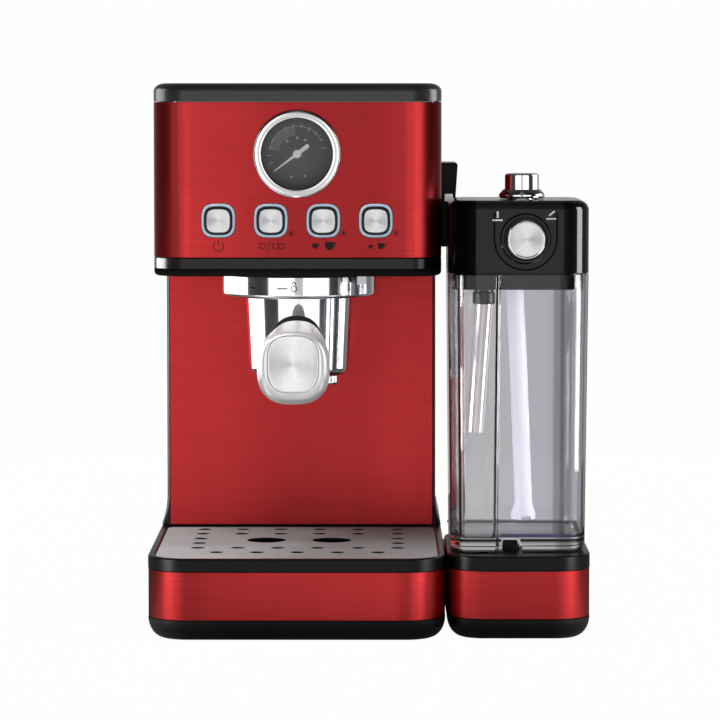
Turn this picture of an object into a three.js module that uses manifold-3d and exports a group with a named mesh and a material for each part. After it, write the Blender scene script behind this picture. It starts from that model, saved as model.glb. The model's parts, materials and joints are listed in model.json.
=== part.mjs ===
// Espresso machine with a side milk tank, as an assembly of separate pieces. Millimetres, +Z up.
// Inside the machine group, X runs from the main body's centre line to the right, Y from the front face
// of the base to the back, and Z from the underside of the base moulding. The group is then set so that
// the origin is the centre of the whole footprint, at the underside of the feet.
import * as THREE from "three";
import { mergeVertices } from "three/addons/utils/BufferGeometryUtils.js";
import Module from "manifold-3d";

const wasm = await Module();
wasm.setup();

// ---- driving dimensions ----
const GAP = 0.3; // left between pieces that touch
const SHEET = 1.0; // coloured sheet metal
const FOOT_DROP = 2;

const BASE_HALF = 76.7;
const BASE_BACK = 300;
const BASE_CORNER = 21;
const BASE_TOP = 40.9;
const BAND_LOW = 8.9;
const BAND_HIGH = 34.3;
const RIM = 3.4;

const TRAY_BACK = 138.5; // where the drip tray pocket ends
const PLATE_TOP = 39.9;
const HOLE_PITCH = 21;
const HOLE_R = 3.75;
const FINGER_HOLE_R = 10.5;

const COLUMN_HALF = 73.5;
const COLUMN_FRONT = 140;
const BODY_BACK = 224;
const HEAD_HALF = 75;
const HEAD_FRONT = 40;
const HEAD_CORNER = 16;
const HEAD_LOW = 183;
const WRAP_LOW = 192.9;
const WRAP_HIGH = 273.2;
const HEAD_TOP = 283;

const GAUGE_Z = 246.5;
const GAUGE_R = 23;
const DIAL_R = 18.4;
const BUTTON_Z = 212;
const BUTTON_PITCH = 27.2;
const BUTTON_SIZE = 14.2;
const RING_SIZE = 17.5;

const GROUP_Y = 90;
const COLLAR_R = 41;
const COLLAR_LOW = 170.6;
const BOWL_R = 28.35;
const BOWL_LOW = 128.5;
const HANDLE_END = -60;
const HANDLE_WIDE = 36;

const MILK_X = 114.4;
const MILK_HALF = 36.9;
const MILK_FRONT = 5;
const MILK_BACK = 108;
const MILK_TOP = 41.7;
const MILK_CORNER = 19;
const JUG_HALF = 36.4;
const JUG_FRONT = 23.5;
const JUG_BACK = 92.5;
const JUG_TOP = 184.7;
const LID_LOW = 185;
const LID_TOP = 222.9;
const KNOB_X = 117.6;
const KNOB_Z = 203.4;
const CLEAN_X = 117;
const CLEAN_Y = 57;

const GLAND_X = 45;
const GLAND_Z = 22;
const VALVE_Y = 262; // water valve between the tank and the base
const FROTH_X = 97;
const FROTH_Y = 46;
const TANK_FRONT = 228;
const TANK_BACK = 299.6;
const TANK_HALF = 70;
const TANK_TOP = 262;

// ---- solids ----
function solid(geometry) {
  const bare = geometry.index ? geometry.toNonIndexed() : geometry.clone();
  const merged = mergeVertices(
    new THREE.BufferGeometry().setAttribute("position", bare.attributes.position),
    1e-4,
  );
  return new wasm.Manifold(
    new wasm.Mesh({
      numProp: 3,
      vertProperties: merged.attributes.position.array,
      triVerts: new Uint32Array(merged.index.array),
    }),
  );
}
const join = (first, ...others) => others.reduce((whole, next) => whole.add(next), first);
const cut = (first, ...others) => others.reduce((whole, next) => whole.subtract(next), first);

function box(x0, x1, y0, y1, z0, z1) {
  const g = new THREE.BoxGeometry(x1 - x0, y1 - y0, z1 - z0);
  return solid(g.translate((x0 + x1) / 2, (y0 + y1) / 2, (z0 + z1) / 2));
}

// A rounded rectangle as a ring of points, with its own radius for the front and the back corners.
function ring({ x = 0, half, y0, y1, rFront, rBack = rFront, inset = 0, steps = 4 }) {
  const points = [];
  const corners = [
    [x + half - inset, y0 + inset, 1, 1, rFront, -Math.PI / 2],
    [x + half - inset, y1 - inset, 1, -1, rBack, 0],
    [x - half + inset, y1 - inset, -1, -1, rBack, Math.PI / 2],
    [x - half + inset, y0 + inset, -1, 1, rFront, Math.PI],
  ];
  for (const [cx, cy, sx, sy, radius, start] of corners) {
    const r = Math.max(radius - inset, 0.6);
    for (let i = 0; i <= steps; i++) {
      const a = start + (i / steps) * (Math.PI / 2);
      points.push(new THREE.Vector2(cx - sx * r + r * Math.cos(a), cy + sy * r + r * Math.sin(a)));
    }
  }
  return points;
}

// A closed solid through a stack of rings that all have the same number of points.
function stack(rings) {
  const n = rings[0].points.length;
  const at = [];
  const index = [];
  for (const { z, points } of rings) points.forEach((p) => at.push(p.x, p.y, z));
  for (let k = 0; k + 1 < rings.length; k++)
    for (let i = 0; i < n; i++) {
      const a = k * n + i;
      const b = k * n + ((i + 1) % n);
      index.push(a, b, b + n, a, b + n, a + n);
    }
  const last = (rings.length - 1) * n;
  for (const [i, j, k] of THREE.ShapeUtils.triangulateShape(rings[0].points, [])) index.push(i, k, j);
  for (const [i, j, k] of THREE.ShapeUtils.triangulateShape(rings.at(-1).points, []))
    index.push(last + i, last + j, last + k);
  const g = new THREE.BufferGeometry().setAttribute(
    "position",
    new THREE.Float32BufferAttribute(at, 3),
  );
  return solid(g.setIndex(index));
}

// Rounded-rectangle block whose levels are [z, inset] pairs.
const block = (outline, ...levels) =>
  stack(
    levels.map(
      ([z, inset]) => ({ z, points: ring({ ...outline, inset: (outline.inset ?? 0) + inset }) }),
    ),
  );

// Round solid about an upright axis, from [radius, z] pairs that start and end on the axis.
function turned(profile, x, y, segments = 20) {
  const g = new THREE.LatheGeometry(profile.map(([r, z]) => new THREE.Vector2(r, z)), segments);
  return solid(g.rotateX(Math.PI / 2).translate(x, y, 0));
}
// Round solid about a front-to-back axis; the profile's second number is the distance behind the base.
function turnedAcross(profile, x, z, segments = 20) {
  const g = new THREE.LatheGeometry(profile.map(([r, y]) => new THREE.Vector2(r, y)), segments);
  return solid(g.translate(x, 0, z));
}
const post = (r, x, y, z0, z1, segments = 12) =>
  turned([[0, z0], [r, z0], [r, z1], [0, z1]], x, y, segments);
const peg = (r, x, z, y0, y1, segments = 12) =>
  turnedAcross([[0, y0], [r, y0], [r, y1], [0, y1]], x, z, segments);

// Upright squircle plate facing the front: a superellipse outline extruded from y0 to y1.
function squircle(size, x, z, y0, y1, power = 3.2, segments = 20) {
  const outline = [];
  for (let i = 0; i < segments; i++) {
    const a = (i / segments) * 2 * Math.PI;
    const c = Math.cos(a);
    const s = Math.sin(a);
    const k = size / 2 / (Math.abs(c) ** power + Math.abs(s) ** power) ** (1 / power);
    outline.push(new THREE.Vector2(k * c, k * s));
  }
  const g = new THREE.ExtrudeGeometry(
    new THREE.Shape(outline),
    { depth: y1 - y0, bevelEnabled: false },
  );
  return solid(g.rotateX(Math.PI / 2).translate(x, y1, z));
}

function hose(points, r, steps = 16, sides = 8) {
  const section = new THREE.Shape();
  for (let i = 0; i < sides; i++) {
    const a = (i / sides) * 2 * Math.PI;
    section[i ? "lineTo" : "moveTo"](r * Math.cos(a), r * Math.sin(a));
  }
  const path = new THREE.CatmullRomCurve3(points.map((p) => new THREE.Vector3(...p)));
  return solid(new THREE.ExtrudeGeometry(section, { steps, extrudePath: path, bevelEnabled: false }));
}

// ---- scene graph ----
const FINISH = {
  red: { color: 0xa02c2e, roughness: 0.35, metalness: 0.6 },
  black: { color: 0x1a1b1b, roughness: 0.35, metalness: 0 },
  gloss: { color: 0x0a0a0c, roughness: 0.12, metalness: 0 },
  rubber: { color: 0x161616, roughness: 0.8, metalness: 0 },
  steel: { color: 0x9a9a98, roughness: 0.35, metalness: 1 },
  chrome: { color: 0xd8d8da, roughness: 0.08, metalness: 1 },
  satin: { color: 0xd4d5d4, roughness: 0.3, metalness: 0.7 },
  cast: { color: 0x8d9092, roughness: 0.55, metalness: 0.9 },
  lit: { color: 0xbed7f0, roughness: 0.3, metalness: 0 },
  clear: { color: 0xafadb9, roughness: 0.05, metalness: 0, opacity: 0.35, transparent: true },
  smoke: { color: 0x33363a, roughness: 0.1, metalness: 0, opacity: 0.6, transparent: true },
  silicone: { color: 0xd8dcee, roughness: 0.4, metalness: 0 },
  green: { color: 0x1f5a3a, roughness: 0.5, metalness: 0 },
  dial: { color: 0x555557, roughness: 0.6, metalness: 0 },
  cream: { color: 0xdcd2c8, roughness: 0.4, metalness: 0 },
};

const machine = new THREE.Group();
function piece(name, shape, finish, group = machine) {
  const m = shape.getMesh();
  const g = new THREE.BufferGeometry().setAttribute(
    "position",
    new THREE.BufferAttribute(m.vertProperties, 3),
  );
  g.setIndex(new THREE.BufferAttribute(m.triVerts, 1));
  g.computeVertexNormals();
  const mesh = new THREE.Mesh(g, new THREE.MeshStandardMaterial(FINISH[finish]));
  mesh.name = name;
  group.add(mesh);
}

// ---- a base: bottom pan, coloured band and upper frame, for the main body and for the milk unit ----
const PAN_WALL = 2.5;
const EDGE_FILLET = [[0, 8], [0.9, 4.6], [3.2, 1.6], [BAND_LOW, 0]];
const FRAME_INSET = 1.6;

function basePan(outline) {
  const inside = { ...outline, inset: PAN_WALL };
  return cut(block(outline, ...EDGE_FILLET), block(inside, [2.2, 3.5], [5, 1], [BAND_LOW + 1, 0]));
}

function baseBand(outline, back) {
  const outer = block(outline, [BAND_LOW + GAP, 0.2], [BAND_HIGH - GAP, 0.2]);
  const inner = block(outline, [0, 0.2 + SHEET], [BASE_TOP, 0.2 + SHEET]);
  return cut(outer, inner, box(-200, 200, back, 400, 0, 60));
}

// ---- main base ----
const baseOutline = { half: BASE_HALF, y0: 0, y1: BASE_BACK, rFront: BASE_CORNER, steps: 6 };
const BAND_END = 286;

function baseFrame() {
  const walls = block(baseOutline, [BAND_LOW + GAP, FRAME_INSET], [BAND_HIGH, FRAME_INSET]);
  const rim = block(baseOutline, [BAND_HIGH, 0], [BASE_TOP - 0.8, 0], [BASE_TOP, 0.8]);
  const rear = cut(
    block(baseOutline, [BAND_LOW + GAP, 0], [BAND_HIGH, 0]),
    box(-90, 90, -10, BAND_END + GAP, 0, 60),
  );
  const pocket = block(
    { half: BASE_HALF - RIM, y0: RIM, y1: TRAY_BACK, rFront: BASE_CORNER - RIM, rBack: 4, steps: 6 },
    [12, 0],
    [50, 0],
  );
  const service = block(
    {
      half: BASE_HALF - 4,
      y0: TRAY_BACK + 2.5,
      y1: BASE_BACK - 4,
      rFront: 4,
      rBack: BASE_CORNER - 4,
      steps: 6,
    },
    [5, 0],
    [BASE_TOP - 2.5, 0],
  );
  const underPocket = block({ ...baseOutline, y1: TRAY_BACK, rBack: 4, inset: 4 }, [5, 0], [9.8, 0]);
  const hoseHole = box(-50, 50, 150, 215, 30, 60);
  const gland = peg(7.2, GLAND_X, GLAND_Z, BASE_BACK - 12, BASE_BACK + 5);
  const valve = post(6, 0, VALVE_Y, 30, 60);
  return cut(join(walls, rim, rear), pocket, service, underPocket, hoseHole, gland, valve);
}

piece("base_pan", basePan(baseOutline), "black");
piece("base_band", baseBand(baseOutline, BAND_END), "red");
piece("base_frame", baseFrame(), "black");
const FOOT_SPOTS = {
  front_left: [-56, 26],
  front_right: [56, 26],
  rear_left: [-56, 272],
  rear_right: [56, 272],
};
for (const [place, [x, y]] of Object.entries(FOOT_SPOTS))
  piece("foot_" + place, post(9, x, y, -FOOT_DROP, -GAP / 10), "rubber");
piece(
  "cord_gland",
  turnedAcross(
    [
      [0, 290],
      [6.8, 290],
      [6.8, BASE_BACK + GAP],
      [8.6, BASE_BACK + GAP],
      [7.6, 302.6],
      [4, 302.8],
      [4, 296],
      [0, 296],
    ],
    GLAND_X,
    GLAND_Z,
    16,
  ),
  "rubber",
);

// ---- drip tray and its plate ----
const trayGroup = new THREE.Group();
machine.add(trayGroup);
const trayOutline = {
  half: BASE_HALF - RIM - GAP,
  y0: RIM + GAP,
  y1: TRAY_BACK - GAP,
  rFront: BASE_CORNER - RIM,
  rBack: 4,
  steps: 6,
};
const TRAY_LOW = 12.3;
piece(
  "drip_tray",
  cut(
    block(trayOutline, [TRAY_LOW, 2.4], [TRAY_LOW + 2, 0.4], [PLATE_TOP - 1 - GAP, 0]),
    block({ ...trayOutline, inset: 1.8 }, [TRAY_LOW + 2, 2], [TRAY_LOW + 4, 0], [60, 0]),
  ),
  "black",
  trayGroup,
);

function dripPlate() {
  const rows = [
    [35, [-2, -1, 0, 1, 2]],
    [52.5, [-2.5, -1.5, -0.5, 0.5, 1.5, 2.5]],
    [71.5, [-2.5, 2.5]],
    [90, [-2.5, 2.5]],
    [110.5, [-2.5, -1.5, -0.5, 0.5, 1.5, 2.5]],
    [129.5, [-2.5, -1.5, -0.5, 0.5, 1.5, 2.5]],
  ];
  let plate = block({ ...trayOutline, inset: 0.1 }, [PLATE_TOP - 1, 0], [PLATE_TOP, 0]);
  for (const [y, columns] of rows)
    for (const column of columns) plate = cut(plate, post(HOLE_R, column * HOLE_PITCH, y, 30, 50, 8));
  for (const x of [-17.4, 17.4]) plate = cut(plate, post(FINGER_HOLE_R, x, 84, 30, 50, 18));
  return plate;
}
piece("drip_plate", dripPlate(), "steel", trayGroup);

// ---- column ----
const FLARE = [
  [BASE_TOP + GAP, BASE_HALF],
  [43, 75.6],
  [47, 74.3],
  [54, COLUMN_HALF],
  [HEAD_LOW - GAP, COLUMN_HALF],
];
function columnShell() {
  const outer = stack(
    FLARE.map(([z, half]) => ({
      z,
      points: ring({ half, y0: COLUMN_FRONT, y1: BODY_BACK, rFront: 3, rBack: 3, steps: 3 }),
    })),
  );
  const panelSeat = box(-72.2, 72.2, COLUMN_FRONT - 5, COLUMN_FRONT + SHEET + GAP, 30, 200);
  const inside = box(-71, 71, COLUMN_FRONT + 3.4, BODY_BACK + 5, 30, 200);
  return cut(outer, panelSeat, inside);
}
piece("column_shell", columnShell(), "black");
piece(
  "column_panel",
  box(-72, 72, COLUMN_FRONT, COLUMN_FRONT + SHEET, BASE_TOP + GAP, HEAD_LOW - GAP),
  "red",
);

// ---- head ----
const headOutline = {
  half: HEAD_HALF,
  y0: HEAD_FRONT,
  y1: BODY_BACK,
  rFront: HEAD_CORNER,
  rBack: 3,
  steps: 5,
};
function headBezel() {
  const outer = block(
    headOutline,
    [HEAD_LOW, 6],
    [184.4, 3.2],
    [186.2, 1.2],
    [188.4, 0],
    [WRAP_LOW - GAP, 0],
  );
  const inside = block({ ...headOutline, inset: 4 }, [HEAD_LOW + 3, 3], [189, 0], [200, 0]);
  const columnWay = box(-68, 68, COLUMN_FRONT + 6, BODY_BACK + 5, 170, 200);
  return cut(outer, inside, columnWay, post(30.4, 0, GROUP_Y, 170, 200, 28));
}
piece("head_bezel", headBezel(), "black");

const buttonX = [-1.5, -0.5, 0.5, 1.5].map((k) => k * BUTTON_PITCH);
const frontHoles = (gaugeR, buttonSize) => [
  peg(gaugeR, 0, GAUGE_Z, 30, 50, 28),
  ...buttonX.map((x) => squircle(buttonSize, x, BUTTON_Z, 30, 50)),
];
function headSleeve(inset, thickness, z0, z1, gaugeR, buttonSize) {
  const outer = block(headOutline, [z0, inset], [z1, inset]);
  const inner = block(headOutline, [z0 - 5, inset + thickness], [z1 + 5, inset + thickness]);
  const open = box(-HEAD_HALF + 5, HEAD_HALF - 5, 200, 240, z0 - 5, z1 + 5);
  const square = box(-90, 90, BODY_BACK - 1.5, 240, z0 - 5, z1 + 5);
  return cut(outer, inner, open, square, ...frontHoles(gaugeR, buttonSize));
}
piece("head_wrap", headSleeve(0, SHEET, WRAP_LOW, WRAP_HIGH, 21.4, RING_SIZE + 0.5), "red");
piece(
  "head_frame",
  headSleeve(SHEET + GAP, 2, WRAP_LOW + 0.5, WRAP_HIGH - 0.5, 21, RING_SIZE + 0.7),
  "black",
);

function headCap() {
  const low = WRAP_HIGH + GAP;
  const outer = block(headOutline, [low, 0], [279, 0], [281.2, 1.2], [282.5, 3.2], [HEAD_TOP, 6]);
  const inside = block({ ...headOutline, inset: 2.4 }, [low - 2, 0], [279, 0]);
  const seat = { half: 62, y0: 54, y1: 212, rFront: 8, steps: 3 };
  return cut(
    outer,
    inside,
    block(seat, [281.2, 0], [290, 0]),
    block({ ...seat, inset: 6 }, [270, 0], [290, 0]),
  );
}
piece("head_cap", headCap(), "black");

function cupPlate() {
  const plate = block({ half: 61.7, y0: 54.3, y1: 211.7, rFront: 8, steps: 3 }, [281.5, 0], [282.3, 0]);
  let slotted = plate;
  for (let y = 70; y < 205; y += 21)
    for (const x of [-36, 0, 36]) slotted = cut(slotted, box(x - 12, x + 12, y, y + 4, 270, 290));
  return slotted;
}
piece("cup_plate", cupPlate(), "steel");

function rearCover() {
  const y0 = BODY_BACK + GAP;
  const panel = block(
    { half: COLUMN_HALF, y0, y1: y0 + 2.4, rFront: 1, steps: 1 },
    [BASE_TOP + GAP, 0],
    [WRAP_HIGH - GAP, 0],
  );
  let vented = panel;
  for (let z = 225; z < 262; z += 9) vented = cut(vented, box(-30, 30, y0 - 5, y0 + 5, z, z + 3.5));
  return vented;
}
piece("rear_cover", rearCover(), "black");

// ---- pressure gauge ----
piece(
  "gauge_bezel",
  turnedAcross(
    [
      [DIAL_R, 37.9],
      [19.4, 37.2],
      [21.4, 37.2],
      [22.6, 38.1],
      [GAUGE_R, HEAD_FRONT - GAP],
      [20.7, HEAD_FRONT - GAP],
      [20.7, 46],
      [19.3, 46],
      [19.3, 39],
      [DIAL_R, 39],
      [DIAL_R, 37.9],
    ],
    0,
    GAUGE_Z,
    24,
  ),
  "steel",
);
piece("gauge_lens", peg(DIAL_R + 0.6, 0, GAUGE_Z, 39.3, 40, 28), "clear");
piece("gauge_dial", peg(DIAL_R + 0.5, 0, GAUGE_Z, 43.2, 44, 28), "dial");
piece(
  "gauge_case",
  turnedAcross([[0, 46.3], [20.5, 46.3], [20.5, 58], [5, 58], [5, 66], [0, 66]], 0, GAUGE_Z, 28),
  "cast",
);
const needleGroup = new THREE.Group();
needleGroup.position.set(0, 0, GAUGE_Z);
machine.add(needleGroup);
function gaugeNeedle() {
  const outline = [
    [-0.25, 14.6],
    [0.25, 14.6],
    [0.7, 2],
    [1.0, -1],
    [1.0, -7.4],
    [-1.0, -7.4],
    [-1.0, -1],
    [-0.7, 2],
  ];
  const shape = new THREE.Shape(outline.map(([x, z]) => new THREE.Vector2(x, z)));
  const blade = new THREE.ExtrudeGeometry(shape, { depth: 0.6, bevelEnabled: false });
  blade.rotateX(Math.PI / 2).translate(0, 42, 0);
  return join(solid(blade), peg(2.1, 0, 0, 40.9, 42.4, 16));
}
const NEEDLE_REST = (233 * Math.PI) / 180;
needleGroup.rotation.y = NEEDLE_REST;
piece("gauge_needle", gaugeNeedle(), "cream", needleGroup);

// ---- push buttons in one light guide ----
function lightGuide() {
  const rings = buttonX.map((x) =>
    cut(squircle(RING_SIZE, x, BUTTON_Z, 39.4, 46), squircle(BUTTON_SIZE + 0.9, x, BUTTON_Z, 30, 60)),
  );
  const holes = buttonX.map((x) => squircle(BUTTON_SIZE + 0.9, x, BUTTON_Z, 30, 60));
  return join(cut(box(-52, 52, 43.8, 46, BUTTON_Z - 9.5, BUTTON_Z + 9.5), ...holes), ...rings);
}
piece("light_guide", lightGuide(), "lit");
buttonX.forEach((x, i) => {
  const cap = squircle(BUTTON_SIZE, x, BUTTON_Z, 38.7, 44);
  piece("button_" + (i + 1), join(cap, peg(2.5, x, BUTTON_Z, 43, 48.2, 12)), "steel");
});
piece("control_board", box(-60, 60, 50, 51.6, 199, 224), "green");

// ---- brew group ----
const UNLOCKED = (-50 * Math.PI) / 180;
function brewCollar() {
  const low = COLLAR_LOW;
  const high = HEAD_LOW - GAP;
  const ledge = low + 3;
  const body = turned(
    [
      [31.2, low],
      [COLLAR_R - 1.6, low],
      [COLLAR_R, low + 1.2],
      [COLLAR_R, high - 1],
      [COLLAR_R - 1, high],
      [34.6, high],
      [34.6, ledge],
      [31.2, ledge],
      [31.2, low],
    ],
    0,
    GROUP_Y,
    32,
  );
  const gate = new THREE.BoxGeometry(7.2, 12, 12).translate(31.6, 0, low);
  const gates = [UNLOCKED, UNLOCKED + Math.PI].map((a) =>
    solid(gate.clone().rotateZ(a).translate(0, GROUP_Y, 0)),
  );
  return cut(body, ...gates);
}
piece("brew_collar", brewCollar(), "chrome");
piece(
  "group_head",
  turned([[0, 182.6], [21, 182.6], [21, 181], [30, 181], [30, 198], [0, 198]], 0, GROUP_Y),
  "cast",
);
piece(
  "group_seal",
  turned([[24.4, 178.9], [28.8, 178.9], [28.8, 180.7], [24.4, 180.7], [24.4, 178.9]], 0, GROUP_Y),
  "rubber",
);
function showerScreen() {
  let disc = turned([[0, 179.6], [23.9, 179.6], [23.9, 180.7], [0, 180.7]], 0, GROUP_Y);
  for (let i = 0; i < 6; i++) {
    const a = (i / 6) * 2 * Math.PI;
    disc = cut(disc, post(1.6, 14 * Math.cos(a), GROUP_Y + 14 * Math.sin(a), 170, 190, 6));
  }
  return disc;
}
piece("shower_screen", showerScreen(), "steel");
piece(
  "boiler",
  block({ half: 44, y0: 66, y1: 134, rFront: 8, steps: 2 }, [198.4, 0], [236, 0]),
  "cast",
);
piece(
  "pump",
  join(box(-22, 22, 160, 204, 70, 130), post(9, 0, 182, 129, 146), post(6, 0, 182, 50, 71)),
  "cast",
);
piece(
  "brew_hose",
  hose([[0, 182, 146.4], [0, 184, 165], [4, 176, 200], [8, 152, 218], [8, 134.4, 218]], 3),
  "silicone",
);
piece(
  "steam_hose",
  hose([[45.2, 113, 221], [54, 113, 221], [62, 114, 222], [70.9, 114, 222]], 3, 8),
  "silicone",
);

// ---- portafilter ----
const portafilter = new THREE.Group();
portafilter.position.set(0, GROUP_Y, 0);
machine.add(portafilter);
function bowl() {
  const outside = turned(
    [
      [0, BOWL_LOW],
      [23.4, BOWL_LOW],
      [25.6, BOWL_LOW + 1],
      [26.5, BOWL_LOW + 3],
      [BOWL_R, 170],
      [29.2, 174.4],
      [29.2, 178.4],
      [0, 178.4],
    ],
    0,
    0,
    28,
  );
  const lugs = [-1, 1].map(
    (side) => box(side * 29.8 - 3.4, side * 29.8 + 3.4, -5, 5, COLLAR_LOW + 3.4, 177.4),
  );
  const inside = turned([[0, 133], [20, 133], [25.9, 138], [25.9, 200], [0, 200]], 0, 0, 28);
  return cut(join(outside, ...lugs), inside, post(4, 0, 0, 120, 140, 12));
}
piece("portafilter_bowl", bowl(), "chrome", portafilter);
piece(
  "filter_basket",
  cut(
    turned(
      [
        [0, 152],
        [23.6, 152],
        [25.4, 155],
        [25.4, 178.7],
        [28, 178.7],
        [28, 179.6 - GAP - 0.5],
        [0, 178.8],
      ],
      0,
      0,
    ),
    turned([[0, 153], [22.9, 153], [24.5, 156], [24.5, 190], [0, 190]], 0, 0),
  ),
  "steel",
  portafilter,
);
function spout() {
  const bar = block(
    { half: 20.7, y0: -7, y1: 7, rFront: 6.5, steps: 3 },
    [123.1, 1],
    [124.2, 0],
    [BOWL_LOW - GAP, 0],
  );
  const outlets = [-1, 1].map((side) => post(3, side * 14, 0, 118, 126, 10));
  return cut(bar, ...outlets, box(-8, 8, -10, 10, 120, 125.4));
}
piece("spout", spout(), "chrome", portafilter);

// Closed solid lofted front to back through superellipse sections.
function loft(sections, segments = 20) {
  const at = [];
  const index = [];
  for (const { y, wide, low, high, power = 2.6 } of sections)
    for (let i = 0; i < segments; i++) {
      const a = (i / segments) * 2 * Math.PI;
      const c = Math.cos(a);
      const s = Math.sin(a);
      const x = (wide / 2) * Math.sign(c) * Math.abs(c) ** (2 / power);
      const z = (low + high) / 2 + ((high - low) / 2) * Math.sign(s) * Math.abs(s) ** (2 / power);
      at.push(x, y, z);
    }
  for (let k = 0; k + 1 < sections.length; k++)
    for (let i = 0; i < segments; i++) {
      const a = k * segments + i;
      const b = k * segments + ((i + 1) % segments);
      index.push(a, b + segments, b, a, a + segments, b + segments);
    }
  const last = (sections.length - 1) * segments;
  for (let i = 1; i + 1 < segments; i++) {
    index.push(0, i, i + 1);
    index.push(last, last + i + 1, last + i);
  }
  const g = new THREE.BufferGeometry().setAttribute(
    "position",
    new THREE.Float32BufferAttribute(at, 3),
  );
  return solid(g.setIndex(index));
}
const END = HANDLE_END - GROUP_Y;
const NECK_END = -62;
piece(
  "handle_neck",
  cut(
    loft([
      { y: NECK_END, wide: 27, low: 132, high: 163.6 },
      { y: -40, wide: 24, low: 137, high: 162.6 },
      { y: -24, wide: 22, low: 140, high: 161 },
    ]),
    turned([[0, 100], [BOWL_R + GAP, 100], [BOWL_R + GAP, 200], [0, 200]], 0, 0, 36),
  ),
  "black",
  portafilter,
);
function handle() {
  const grip = loft([
    { y: END, wide: HANDLE_WIDE - 7, low: 128.5, high: 159.6, power: 2.9 },
    { y: END + 1.4, wide: HANDLE_WIDE - 2.6, low: 126.2, high: 160.6, power: 2.9 },
    { y: END + 5, wide: HANDLE_WIDE, low: 124.7, high: 161.2, power: 2.7 },
    { y: END + 30, wide: HANDLE_WIDE - 1.5, low: 126.2, high: 161.2 },
    { y: END + 60, wide: 31, low: 130, high: 161 },
    { y: NECK_END - GAP, wide: 27.5, low: 132, high: 161 },
  ]);
  const seat = squircleAt(25.8, 28.8, 145.3, END - 3, END + 1.6);
  return cut(grip, seat);
}
function squircleAt(wide, tall, z, y0, y1) {
  return loft([
    { y: y0, wide, low: z - tall / 2, high: z + tall / 2, power: 3 },
    { y: y1, wide, low: z - tall / 2, high: z + tall / 2, power: 3 },
  ]);
}
piece("handle", handle(), "satin", portafilter);
piece("handle_cap", squircleAt(25.1, 28.1, 145.3, END + 0.2, END + 1.3), "steel", portafilter);

// ---- water tank behind the column ----
const tank = new THREE.Group();
machine.add(tank);
const tankOutline = { half: TANK_HALF, y0: TANK_FRONT, y1: TANK_BACK, rFront: 4, rBack: 18, steps: 5 };
piece(
  "water_tank",
  join(
    cut(
      block(tankOutline, [BASE_TOP + GAP, 1.5], [43, 0], [TANK_TOP, 0]),
      block({ ...tankOutline, inset: 2.2 }, [44, 0], [TANK_TOP + 5, 0]),
    ),
    post(5.4, 0, VALVE_Y, 34, 46),
  ),
  "smoke",
  tank,
);
piece(
  "tank_lid",
  block(tankOutline, [TANK_TOP + GAP, 0], [267, 0], [269, 1.5]),
  "black",
  tank,
);

// ---- milk unit: base, boss, jug, frother lid ----
const milkOutline = {
  x: MILK_X,
  half: MILK_HALF,
  y0: MILK_FRONT,
  y1: MILK_BACK,
  rFront: MILK_CORNER,
  steps: 5,
};
function milkTop() {
  const walls = block(milkOutline, [BAND_LOW + GAP, FRAME_INSET], [BAND_HIGH, FRAME_INSET]);
  const rim = block(milkOutline, [BAND_HIGH, 0], [MILK_TOP - 0.8, 0], [MILK_TOP, 0.8]);
  const under = block({ ...milkOutline, inset: 4 }, [0, 0], [BAND_HIGH, 0]);
  const stop = cut(
    block(milkOutline, [MILK_TOP - 1, 0.8], [48.6, 0.8], [49.4, 1.6]),
    box(60, 160, 0, 96, 30, 60),
  );
  const rail = box(MILK_X - 7, MILK_X + 1, 30, 86, MILK_TOP - 1, 43.6);
  return cut(join(walls, rim, stop, rail), under);
}
piece("milk_pan", basePan(milkOutline), "black");
piece("milk_band", baseBand(milkOutline, MILK_BACK + 5), "red");
piece("milk_deck", milkTop(), "black");
for (const [place, y] of [["front", 26], ["rear", 88]])
  piece("milk_foot_" + place, post(9, MILK_X, y, -FOOT_DROP, -GAP / 10), "rubber");
piece(
  "base_bracket",
  join(
    box(BASE_HALF + GAP, BASE_HALF + 2.3, MILK_BACK + GAP, 150, 12, 32),
    box(BASE_HALF + GAP, MILK_X + 12, MILK_BACK + GAP, MILK_BACK + 2.5, 12, 32),
  ),
  "cast",
);

function milkBoss() {
  const x0 = HEAD_HALF + GAP;
  const shape = new THREE.Shape(
    [
      [x0, 196],
      [98, 196],
      [98, 219],
      [83.2, 219],
      [84.6, 240.7],
      [x0, 240.7],
    ].map(([x, z]) => new THREE.Vector2(x, z)),
  );
  const g = new THREE.ExtrudeGeometry(shape, { depth: 40, bevelEnabled: false });
  const port = turnedAcross([[0, 93.1], [4, 93.1], [5, 97], [0, 97]], 90, 207, 14);
  return join(solid(g.rotateX(Math.PI / 2).translate(0, 136, 0)), port);
}
piece("milk_boss", milkBoss(), "black");

const milkUnit = new THREE.Group();
machine.add(milkUnit);
const jugOutline = { x: MILK_X, half: JUG_HALF, y0: JUG_FRONT, y1: JUG_BACK, rFront: 13, steps: 5 };
const lobeOutline = { x: 93.6, half: 10.2, y0: JUG_FRONT - 3, y1: 60, rFront: 5.5, steps: 5 };
const JUG_LEVELS = [[MILK_TOP + GAP, 5.6], [43.4, 3.4], [47, 1.9], [52, 1.5], [JUG_TOP, 0]];
function jug() {
  const lift = ([z, inset]) => [z, Math.min(inset, 4.5)];
  const outer = join(block(jugOutline, ...JUG_LEVELS), block(lobeOutline, ...JUG_LEVELS.map(lift)));
  const hollow = { ...jugOutline, inset: 2 };
  const inner = join(
    block(hollow, [48.5, 3.2], [51, 1.6], [JUG_TOP + 3, 0]),
    block({ ...lobeOutline, inset: 2 }, [48.5, 3], [51, 1.4], [JUG_TOP + 3, 0]),
  );
  const railSlot = box(MILK_X - 8, MILK_X + 2, 0, 100, 30, 44.6);
  return cut(outer, inner, railSlot);
}
piece("milk_jug", jug(), "clear", milkUnit);

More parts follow.
